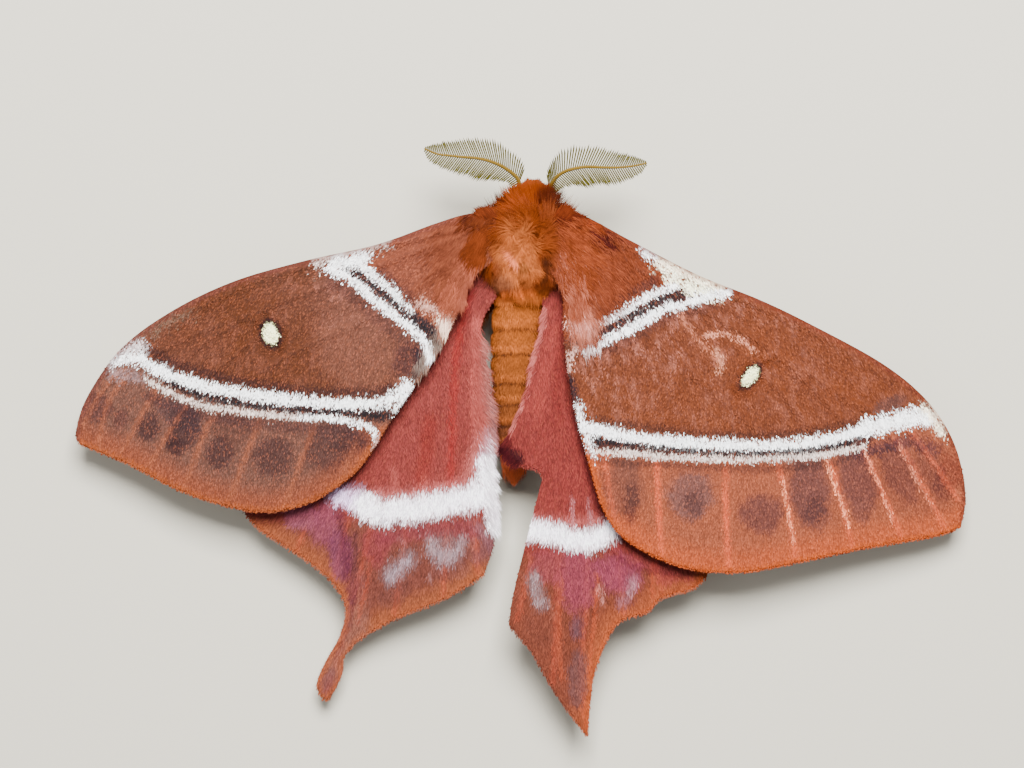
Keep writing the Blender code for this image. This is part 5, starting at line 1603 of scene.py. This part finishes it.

# %% [markdown]
# ## Colours of the body
# Collar and head are rust orange, the rubbed middle of the thorax is pale, the abdomen tawny.
# Patches are given where they fall in the view, and the rest by millimetres. A few patches are
# painted shade in the fur, one is a painted highlight, and the abdomen's segments carry a painted
# highlight on their rims.

# %% Colours of the body
BODY_PATCHES = (
    ((520, 200), (24, 20), 0, (186, 98, 30), 0.6),
    # The next two patches are painted shade in the fur of the collar.
    ((497, 214), (11, 20), 28, (98, 34, 14), 0.9),
    ((549, 206), (13, 14), 25, (104, 38, 18), 0.85),
    ((545, 226), (6, 18), 0, (128, 54, 18), 0.6),
    ((475, 252), (16, 24), 0, (150, 80, 22), 0.9),
    ((552, 244), (18, 26), 0, (176, 100, 46), 0.7),
    ((518, 256), (22, 32), 0, (212, 150, 86), 0.95),
    ((566, 268), (16, 30), 0, (196, 122, 84), 0.7),
    ((500, 282), (14, 14), 0, (200, 144, 104), 0.8),
    ((516, 296), (34, 12), 0, (236, 176, 92), 0.95),
    # The next three patches are painted shade in creases of the matted hair, and the fourth is a
    # painted highlight on it.
    ((545, 264), (4, 13), 8, (104, 52, 28), 0.8),
    ((522, 263), (7, 6), 20, (166, 112, 62), 0.6),
    ((499, 262), (5, 9), 20, (182, 112, 70), 0.5),
    ((512, 256), (3, 11), -24, (240, 196, 156), 0.6),
    ((504, 374), (1.8, 17), 0, (112, 54, 22), 0.75),
    ((503, 404), (1.6, 12), 4, (120, 62, 28), 0.6),
)
ABDOMEN_TONES = (
    (320, (202, 136, 60)), (400, (178, 114, 56)), (440, (150, 90, 58)), (462, (232, 172, 122)),
)
COLLAR = (168, 88, 28)
BELLY = (206, 160, 128)
LEG_TONE = (150, 84, 54)
SEGMENT_LINE = (92, 44, 18)
# Painted highlight along the rim of each segment.
SEGMENT_RIM_HIGHLIGHT = (234, 184, 110)
PATCH_HEIGHTS = (5.0, 7.5)
REAR_FROM = (-19.0, -17.4)
LINE_RULE = (0.95, 0.15)
RIM_HIGHLIGHT_RULE = (0.3, 0.45)
RIM_HIGHLIGHT_BEFORE = 0.7
BELLY_SHARE = 0.5
BELLY_HEIGHTS = (2.6, 4.6)
LIMB_SHARE = 0.75
LIMB_OUT = (4.2, 5.4)
LIMB_TOP = 7
LIMB_HEIGHTS = (2.4, 3.6)
LIMB_UNDER_REAR = 0.4


def body_colours(xyz):
    p = in_view(xyz)
    x, y, z = xyz.T
    colours = np.tile(linear(COLLAR), (len(p), 1))
    upper = smooth_step(*PATCH_HEIGHTS, z)[:, None]
    colours += (lay_spots(colours, p, BODY_PATCHES) - colours) * upper
    tones = np.array([linear(c) for _, c in ABDOMEN_TONES])
    rows = [row for row, _ in ABDOMEN_TONES]
    tawny = np.stack([np.interp(p[:, 1], rows, tones[:, k]) for k in range(3)], 1)
    rear = smooth_step(*REAR_FROM, -y)
    colours += (tawny - colours) * rear[:, None]
    for ring in ABDOMEN_RINGS:
        # A painted highlight on the rim just before each groove, then the groove's dark line.
        colours = by_vein(colours, SEGMENT_RIM_HIGHLIGHT, RIM_HIGHLIGHT_RULE, y - ring - RIM_HIGHLIGHT_BEFORE, rear)
        colours = by_vein(colours, SEGMENT_LINE, LINE_RULE, y - ring, rear)
    colours = blend(colours, BELLY, BELLY_SHARE * fade(*BELLY_HEIGHTS, z) * rear)
    limb = smooth_step(*LIMB_OUT, np.abs(x - LEG_MIRROR_X)) * (z < LIMB_TOP)
    limb = np.maximum(limb, fade(*LIMB_HEIGHTS, z + LIMB_UNDER_REAR * rear))
    return blend(colours, LEG_TONE, LIMB_SHARE * limb)


print("patches on the body:", len(BODY_PATCHES))

# %% [markdown]
# The skin is cut into triangles, unfolded for baking and tinted a little darker than its fur.

# %% Paint the body skin
SKIN_DARKER = 0.8
UNFOLD_ANGLE = 70
UNFOLD_GAP = 0.002
bpy.context.view_layer.objects.active = body
body.select_set(True)
bpy.ops.object.mode_set(mode="EDIT")
bpy.ops.mesh.select_all(action="SELECT")
bpy.ops.mesh.quads_convert_to_tris()
body.data.uv_layers.new(name="OFBake")
bpy.ops.uv.smart_project(angle_limit=math.radians(UNFOLD_ANGLE), island_margin=UNFOLD_GAP)
bpy.ops.object.mode_set(mode="OBJECT")
set_tint(body.data, body_colours(np.array([v.co for v in body.data.vertices]) / MM) * SKIN_DARKER)
body.data.materials.clear()
body.data.materials.append(BODY_SKIN)
body.data.shade_smooth()
body.data.calc_loop_triangles()
LEG_NODES = [f"{name}_{side}" for name in LEG_PATHS for side in ("left", "right")]
place(body, ["head", "thorax", "abdomen"] + LEG_NODES)

# %% [markdown]
# ## Fur
# The coat is woolly and lies backward from the collar. It could be combed by hand, but a lie
# worked out from the place comes out the same in every run.
# Hairs are rooted evenly over the skin, region by region.
# Each region is told by where it lies, in millimetres.

# %% Regions of the body
THORAX_REACH = 1.12
THORAX_REAR = 17.4
NECK_ROW = 27.6
EYE_BARE = 1.08
LEG_OUT = 4.6
COXA_TOP, COXA_OUT, COXA_ROW = 3.6, 1.8, 14
BACK_WEIGHT = 0.45
WEIGHT_RANGE = (0.15, 1.2)
WAIST_ROW, ABDOMEN_ROW = 18.6, 21
ABDOMEN_TOP_MORE = 0.8


def on_thorax(p):
    rel = (p - np.array(THORAX_CENTRE)) / np.array(THORAX_CORE)
    return (np.linalg.norm(rel, axis=1) < THORAX_REACH) & (p[:, 1] > THORAX_REAR)


def on_eye(p):
    eyes = [head_place(EYE_OFFSET, side) for side in (-1, 1)]
    return np.any([np.linalg.norm(p - eye, axis=1) < EYE_RADIUS * EYE_BARE for eye in eyes], axis=0)


def on_leg(p):
    out = np.abs(p[:, 0] - LEG_MIRROR_X)
    return (out > LEG_OUT) | ((p[:, 2] < COXA_TOP) & (out > COXA_OUT) & (p[:, 1] > COXA_ROW))


def thorax_weight(p, n):
    return on_thorax(p) * ~on_leg(p) * np.clip(BACK_WEIGHT + n[:, 2], *WEIGHT_RANGE)


def head_weight(p, n):
    return ((p[:, 1] > NECK_ROW) & ~on_eye(p)) * 1.0


def abdomen_weight(p, n):
    behind = (p[:, 1] < ABDOMEN_ROW) * ((p[:, 1] < WAIST_ROW) | ~on_thorax(p))
    return behind * ~on_leg(p) * (1.0 + ABDOMEN_TOP_MORE * (n[:, 2] > 0))


def leg_weight(p, n):
    return on_leg(p) * 1.0


def read_array(items, name, count, kind):
    """One property of all items of a mesh as rows of numbers."""
    values = np.zeros(count * len(items), kind)
    items.foreach_get(name, values)
    return values.reshape(-1, count)


def sample_faces(obj, count, dice, weight):
    """Random places on a skin, by a weight of the place: point, normal and map place."""
    mesh = obj.data
    tris = read_array(mesh.loop_triangles, "vertices", 3, np.int32)
    loops = read_array(mesh.loop_triangles, "loops", 3, np.int32)
    corner = (read_array(mesh.vertices, "co", 3, np.float32).astype(float) / MM)[tris]
    place_uv = read_array(mesh.uv_layers["OFBake"].uv, "vector", 2, np.float32)[loops]
    cross = np.cross(corner[:, 1] - corner[:, 0], corner[:, 2] - corner[:, 0])
    area = np.linalg.norm(cross, axis=1) / 2
    chance = area * weight(corner.mean(1), unit(cross))
    pick = dice.choice(len(area), count, p=chance / chance.sum())
    a = np.sqrt(dice.random(count))
    b = dice.random(count)
    w = np.stack([1 - a, a * (1 - b), a * b], 1)[:, :, None]
    return (corner[pick] * w).sum(1), unit(cross)[pick], (place_uv[pick] * w).sum(1)


print("body triangles:", len(body.data.loop_triangles))

# %% [markdown]
# Hairs lie along a flow: outward over the shoulders, backward over the rear of the thorax
# and along the abdomen. They are short on the face and the rubbed back, and long at the collar.

# %% Lie and length of the fur
WHIRL = np.array([0.6, 24.6])
BACK_ROWS = (-1.0, 5.0)
BACK_TURN = 0.55
FLANK_HEIGHTS = (7.5, 4.5)
FLANK_FLAT, FLANK_DROP = 0.5, 0.9
CROWN = (HEAD_CENTRE[0], HEAD_CENTRE[1] - 2.2, HEAD_CENTRE[2] + 0.4)
ABDOMEN_MIDDLE, ABDOMEN_FAN = -0.6, 0.06
ABDOMEN_FLOW = (-1.0, -0.05)
LEG_FLOW = (-0.2, -0.8)
RUBBED_AT, RUBBED_SIZE = np.array([0.9, 22.6]), np.array([3.4, 3.8])
RUBBED, RUBBED_WIDTH = 0.4, 0.8
TUFT, TUFT_OUT = 0.5, (3.2, 4.8)
COLLAR_MORE, COLLAR_SIDE = 0.9, 0.5
COLLAR_MIDDLE, COLLAR_OUT = 0.8, (2.2, 4.4)
COLLAR_ROWS, COLLAR_HEIGHTS = (24.0, 26.5), (4.0, 7.0)
THORAX_HAIR, THORAX_LEAST, THORAX_HEIGHTS = 1.3, 0.3, (2.5, 7.0)
HEAD_HAIR, FACE_LESS, FACE_ROWS = 1.7, 1.1, (29.6, 31.6)
CHEEK_MORE, CHEEK_MIDDLE, CHEEK_OUT = 0.7, 1.1, (1.4, 3.2)
ABDOMEN_HAIR, TAIL_MORE = 0.5, 0.9
TAIL_ROWS, TIP_ROWS = (1.5, 3.4), (3.8, 5.0)
FOOT_HAIR, THIGH_MORE, THIGH_HEIGHTS = 0.35, 0.9, (2.0, 5.0)


def thorax_flow(p):
    """Outward from a whirl on the back, and backward behind it."""
    rel = p[:, :2] - WHIRL
    back = smooth_step(*BACK_ROWS, -rel[:, 1])[:, None]
    plane = unit(unit(rel) * (1 - BACK_TURN * back) + np.array([[0, -1.0]]) * back)
    low = smooth_step(*FLANK_HEIGHTS, p[:, 2])
    return unit(np.column_stack([plane * (1 - FLANK_FLAT * low[:, None]), -FLANK_DROP * low]))


def head_flow(p):
    return unit(p - np.array(CROWN))


def abdomen_flow(p):
    side = (p[:, 0] - ABDOMEN_MIDDLE) * ABDOMEN_FAN
    return unit(np.column_stack([side, np.tile(ABDOMEN_FLOW, (len(p), 1))]))


def leg_flow(p):
    return unit(np.column_stack([np.sign(p[:, 0] - LEG_MIRROR_X), np.tile(LEG_FLOW, (len(p), 1))]))


def thorax_length(p):
    x, y, z = p.T
    rubbed = np.linalg.norm((p[:, :2] - RUBBED_AT) / RUBBED_SIZE, axis=1)
    bald = 1 - RUBBED * bell(rubbed, RUBBED_WIDTH)
    tuft = 1 + TUFT * smooth_step(*TUFT_OUT, np.abs(x - LEG_MIRROR_X))
    side = smooth_step(*COLLAR_OUT, np.abs(x - COLLAR_MIDDLE))
    more = COLLAR_MORE + COLLAR_SIDE * side
    collar = 1 + more * smooth_step(*COLLAR_ROWS, y) * smooth_step(*COLLAR_HEIGHTS, z)
    return THORAX_HAIR * bald * tuft * collar * smooth_step(*THORAX_HEIGHTS, z) + THORAX_LEAST


def head_length(p):
    face = smooth_step(*FACE_ROWS, p[:, 1])
    side = smooth_step(*CHEEK_OUT, np.abs(p[:, 0] - CHEEK_MIDDLE))
    return HEAD_HAIR - FACE_LESS * face + CHEEK_MORE * side * (1 - face)


def abdomen_length(p):
    tail, tip = smooth_step(*TAIL_ROWS, -p[:, 1]), smooth_step(*TIP_ROWS, -p[:, 1])
    return ABDOMEN_HAIR + TAIL_MORE * tail - TAIL_MORE * tip


def leg_length(p):
    return FOOT_HAIR + THIGH_MORE * smooth_step(*THIGH_HEIGHTS, p[:, 2])


print("hair at the whirl, in mm:", thorax_length(np.array([[*WHIRL, 12.0]])).round(2))

# %% [markdown]
# Every hair is turned and lengthened a little with its clump, and kept off the floor.
# A swirl under the collar mixes the hairs of the rubbed patch.

# %% Grow the fur
SWIRL_REACH = 3.2
SWIRL_TURN = 5.0
FUR_HALF_WIDTH = 0.03
FUR_BEND = 0.16
FUR_TIP_LIGHT = 1.2
FUR_CLEAR = 0.3
FUR_SIZES = (0.7, 0.6)
FUR_SWAY = 0.12
FUR_TONES = 0.22
CLUMP_SIZE = 0.8
CLUMP_CLIMB = 0.6
CLUMP_TURN = 0.5
CLUMP_LENGTHS = (0.75, 0.5)
CLUMP_TONES = (0.76, 0.48)
COLOUR_ABOVE = 0.5
FUR_RULES = (
    ("thorax_fur", "thorax_fur", 18500, thorax_weight, thorax_flow, thorax_length, (14, 46)),
    ("head_fur", "head_fur", 9000, head_weight, head_flow, head_length, (18, 50)),
    ("abdomen_fur", "abdomen_fur", 13000, abdomen_weight, abdomen_flow, abdomen_length, (6, 20)),
    ("leg_fur", "leg", 6500, leg_weight, leg_flow, leg_length, (15, 40)),
)


def fur_piece(name, slot, count, weight, flow, length, rise, dice):
    """Hairs of one region; length is a function of the root, and rise is a range in degrees."""
    roots, normal, uv = sample_faces(body, count, dice, weight)
    lie = flow(roots)
    lie = unit(lie - (lie * normal).sum(1, keepdims=True) * normal)
    clump = mottle(roots[:, :2] + CLUMP_CLIMB * roots[:, 2:], CLUMP_SIZE, 2)
    swirl = bell(np.linalg.norm(roots[:, :2] - WHIRL, axis=1), SWIRL_REACH)
    turn = (clump - 0.5) * (CLUMP_TURN + SWIRL_TURN * swirl) + dice.normal(0, FUR_SWAY, count)
    lie = lie * np.cos(turn)[:, None] + np.cross(normal, lie) * np.sin(turn)[:, None]
    tilt = np.radians(spread(dice, (rise[0], rise[1] - rise[0]), count))
    way = unit(lie * np.cos(tilt)[:, None] + normal * np.sin(tilt)[:, None])
    size = length(roots) * spread(dice, FUR_SIZES, count)
    size = size * (CLUMP_LENGTHS[0] + CLUMP_LENGTHS[1] * clump)
    low = roots[:, 2] + way[:, 2] * size < FUR_CLEAR
    way[:, 2] = np.where(low, np.maximum(way[:, 2], (FUR_CLEAR - roots[:, 2]) / size), way[:, 2])
    light = np.clip(clump + dice.normal(0, FUR_TONES, count), 0, 1)
    tint = body_colours(roots + normal * COLOUR_ABOVE)
    tint = tint * (CLUMP_TONES[0] + CLUMP_TONES[1] * light)[:, None]
    arrays = blade_arrays(roots, unit(way), normal, size, FUR_HALF_WIDTH, FUR_BEND)
    return place(coat_piece(name, [arrays], uv, tint, FUR, FUR_TIP_LIGHT))


for n, rule in enumerate(FUR_RULES):
    fur_piece(*rule, np.random.default_rng(SEED + 80 + n))

# %% [markdown]
# ## Eyes
# The eyes are dark domes with fine facets, half sunk in the fur of the head.
# A facet is too small to model, so a pattern of cells raises them in the material.

# %% Eyes
EYE_TONE = (42, 26, 20)
EYE_ROUGH, EYE_COAT, EYE_COAT_ROUGH = 0.45, 0.16, 0.3
EYE_SIDES, EYE_RINGS = 40, 28
FACET_SIZE = 9000.0
FACET_RELIEF, FACET_DEPTH = 0.8, 0.00004


def eye_material():
    mat, shader, at = material("eye", EYE_ROUGH, EYE_COAT)
    plain(shader, EYE_TONE)
    shader.inputs["Coat Roughness"].default_value = EYE_COAT_ROUGH
    place_at = at.node("ShaderNodeTexCoord", output=OBJECT_PLACE)
    facets = 1.0 - at.node("ShaderNodeTexVoronoi", Vector=place_at, Scale=FACET_SIZE)
    bump = at.node("ShaderNodeBump", Height=facets, Strength=FACET_RELIEF, Distance=FACET_DEPTH)
    feed(shader, "Normal", bump)
    return mat


EYE_MATERIAL = eye_material()
for side, word in ((-1, "left"), (1, "right")):
    mesh = bpy.data.meshes.new(f"eye_{word}_skin")
    bm = bmesh.new()
    spot = Matrix.Translation(Vector(head_place(EYE_OFFSET, side)) * MM)
    bmesh.ops.create_uvsphere(bm, u_segments=EYE_SIDES, v_segments=EYE_RINGS,
                              radius=EYE_RADIUS * MM, matrix=spot)
    bm.to_mesh(mesh)
    bm.free()
    mesh.materials.append(EYE_MATERIAL)
    mesh.shade_smooth()
    place(in_scene(f"eye_{word}_skin", mesh), (f"eye_{word}",))

# %% [markdown]
# ## Antennae
# Each antenna is a tapered shaft with two rows of fine filaments, the rami.
# A flat card with a cut-out edge would vanish from the side, so every ramus is a closed blade.
# The front row is longest a third of the way out, and the rear row is short near the head.

# %% Shaft of an antenna
SHAFT_SLIM = 0.6
SHAFT_TIP_SLIM = 0.6
SHAFT_STEP = 0.25
SHAFT_SIDES = 8
TREND_STEP = 2.0
SHAFT_TONE = (176, 150, 70)
MAP_LEFT, MAP_LONG, MAP_TALL = 0.05, 0.9, 0.08


def shaft_arrays(line, share):
    """Points, triangles and map places of a closed, tapered tube."""
    n = SHAFT_SIDES
    taper = SHAFT_TIP_RADIUS * SHAFT_TIP_SLIM - SHAFT_ROOT_RADIUS
    radii = SHAFT_SLIM * (SHAFT_ROOT_RADIUS + taper * share)
    verts = tube_rings(line, radii, n).reshape(-1, 3)
    tris = []
    for r in range(0, len(verts) - n, n):
        for k in range(n):
            a, b = r + k, r + (k + 1) % n
            tris += [(a, b + n, b), (a, a + n, b + n)]
    tris += [(0, k, k + 1) for k in range(1, n - 1)]
    end = len(verts) - n
    tris += [(end, end + k + 1, end + k) for k in range(1, n - 1)]
    turns = np.tile(np.arange(n) / n, len(line))
    uv = np.stack([MAP_LEFT + MAP_LONG * np.repeat(share, n), MAP_LEFT + MAP_TALL * turns], 1)
    return verts, tris, uv


print("sides of a shaft:", SHAFT_SIDES)

# %% [markdown]
# The rami lean outward from the trend of the shaft, and their length follows a profile.

# %% Antennae
RAMUS_PAIRS = 48
RAMUS_REACH = ((0.0, 1.1), (0.08, 2.3), (0.3, 3.15), (0.55, 2.75), (0.75, 2.05), (0.9, 1.2),
               (1.0, 0.2))
REAR_GROWTH = ((0.0, 0.52), (0.12, 0.62), (0.35, 1.05), (1.0, 1.05))
RAMUS_START = 0.05
RAMUS_SWAY = 0.8
RAMUS_SIZES = (0.94, 1.06)
RAMUS_HALF_WIDTH = 0.1
RAMUS_BEND = 0.1
RAMUS_WAIST = 0.8
RAMUS_LEAN = {1: 58, -1: 68}
RAMUS_ALIKE = {1: 0.2, -1: 0.6}
RAMUS_TONE = (122, 114, 42)
RAMUS_MAP_ENDS, RAMUS_MAP_ROW = (0.05, 0.98), 0.09


def profile(pairs, at):
    spots, values = zip(*pairs)
    return float(np.interp(at, spots, values))


def at_share(at, share, rows):
    """Rows of numbers read off at a share of the way along."""
    return np.stack([np.interp(at, share, rows[:, i]) for i in range(3)], -1)


def ramus_rule(at, row, side, ahead, whole, dice):
    """Way, upward direction and length of one ramus of the front (1) or rear (-1) row."""
    lean = math.radians(RAMUS_LEAN[row] + dice.uniform(-RAMUS_SWAY, RAMUS_SWAY))
    trend = ahead + (whole - ahead) * RAMUS_ALIKE[row]
    front = side * np.cross(trend, [0, 0, 1.0])
    front = front / np.linalg.norm(front)
    trend = trend / np.linalg.norm(trend)
    growth = 1.0 if row > 0 else profile(REAR_GROWTH, at)
    return (math.cos(lean) * trend + row * math.sin(lean) * front, np.cross(trend, front) * side,
            profile(RAMUS_REACH, at) * growth * dice.uniform(*RAMUS_SIZES))


def antenna_piece(word, path, side):
    dice = np.random.default_rng(SEED + 120 + side)
    path = np.array(path)
    line = curve(path, SHAFT_STEP)
    share = along(line)
    verts, tris, shaft_uv = shaft_arrays(line, share)
    lead = unit(np.gradient(curve(path, TREND_STEP), axis=0))
    lead = at_share(share, np.linspace(0, 1, len(lead)), lead)
    whole = unit(path[-1:] - path[:1])[0]
    roots, rules = [], []
    for k in range(RAMUS_PAIRS):
        at = RAMUS_START + (1 - RAMUS_START) * k / RAMUS_PAIRS
        ahead = at_share(at, share, lead)
        ahead = ahead / np.linalg.norm(ahead)
        for row in (1, -1):
            roots.append(at_share(at, share, line))
            rules.append(ramus_rule(at, row, side, ahead, whole, dice))
    ways, ups, lengths = map(np.array, zip(*rules))
    rami, forms = blade_arrays(np.array(roots), unit(ways), unit(ups), lengths,
                               RAMUS_HALF_WIDTH, RAMUS_BEND, RAMUS_WAIST)
    count, per = rami.shape[:2]
    ramus_tris = (forms[None] + len(verts) + np.arange(count)[:, None, None] * per).reshape(-1, 3)
    places = MAP_LEFT + MAP_LONG * np.interp(np.arange(count), [0, count - 1], RAMUS_MAP_ENDS)
    ramus_uv = patches(np.stack([places, np.full(count, RAMUS_MAP_ROW)], 1), per)
    tint = np.repeat([linear(SHAFT_TONE), linear(RAMUS_TONE)], [len(verts), count * per], axis=0)
    obj = mesh_piece(f"antenna_{word}_skin", np.vstack([verts, rami.reshape(-1, 3)]),
                     np.vstack([tris, ramus_tris]), np.vstack([shaft_uv, ramus_uv]), tint, FEELER)
    return place(obj, (f"antenna_{word}",))


antenna_piece("left", ANTENNA_LEFT, 1)
antenna_piece("right", ANTENNA_RIGHT, -1)
print("pieces:", len(PIECES), "faces:", sum(len(o.data.polygons) for o in PIECES))

# %% [markdown]
# ## Floor, light and camera
# A pale floor and one large soft light from above the head side stand in for the studio.
# A weaker light from the far side opens the shadows.

# %% Floor
FLOOR_HALF = 1.5
FLOOR_TONE = (226, 224, 218)
FLOOR_ROUGH = 0.9
FLOOR_CORNERS = ((-1, -1), (1, -1), (1, 1), (-1, 1))
floor_material, floor_shader, _ = material("floor", FLOOR_ROUGH)
plain(floor_shader, FLOOR_TONE)
floor_mesh = bpy.data.meshes.new("floor")
floor_points = [(x * FLOOR_HALF, y * FLOOR_HALF, 0) for x, y in FLOOR_CORNERS]
floor_mesh.from_pydata(floor_points, [], [(0, 1, 2, 3)])
floor_mesh.materials.append(floor_material)
floor = in_scene("floor", floor_mesh)
print("floor is", 2 * FLOOR_HALF, "m wide")

# %% [markdown]
# Each light is a square that faces the middle of the animal.

# %% Lights
LIGHTS = (("key", 10.5, 0.25, (0.03, 0.22, 0.42)), ("fill", 0.95, 0.5, (-0.3, -0.2, 0.35)))
WORLD_LIGHT = 0.4
WORLD_TONE = (0.95, 0.97, 1.0, 1)


def facing(direction):
    """Turn that points a light or camera this way."""
    return direction.to_track_quat("-Z", "Y").to_euler()


for name, watts, size, place_at in LIGHTS:
    data = bpy.data.lights.new(name, "AREA")
    data.energy = watts
    data.size = size
    lamp = in_scene(name, data)
    lamp.location = place_at
    lamp.rotation_euler = facing(Vector(AIM) * MM - Vector(place_at))
world = bpy.data.worlds.new("studio")
world.use_nodes = True
background = world.node_tree.nodes["Background"]
background.inputs["Color"].default_value = WORLD_TONE
background.inputs["Strength"].default_value = WORLD_LIGHT
bpy.context.scene.world = world

# %% [markdown]
# The camera stands where the markings were measured from.

# %% Camera
CLIP_START = 0.01
camera_data = bpy.data.cameras.new("camera")
camera_data.lens = LENS_MM
camera_data.sensor_width = SENSOR_MM
camera_data.clip_start = CLIP_START
camera = in_scene("camera", camera_data)
camera.location = Vector(EYE_POINT) * MM
camera.rotation_euler = facing(Vector(-AWAY))
bpy.context.scene.camera = camera
print("camera at:", [round(v, 4) for v in camera.location])
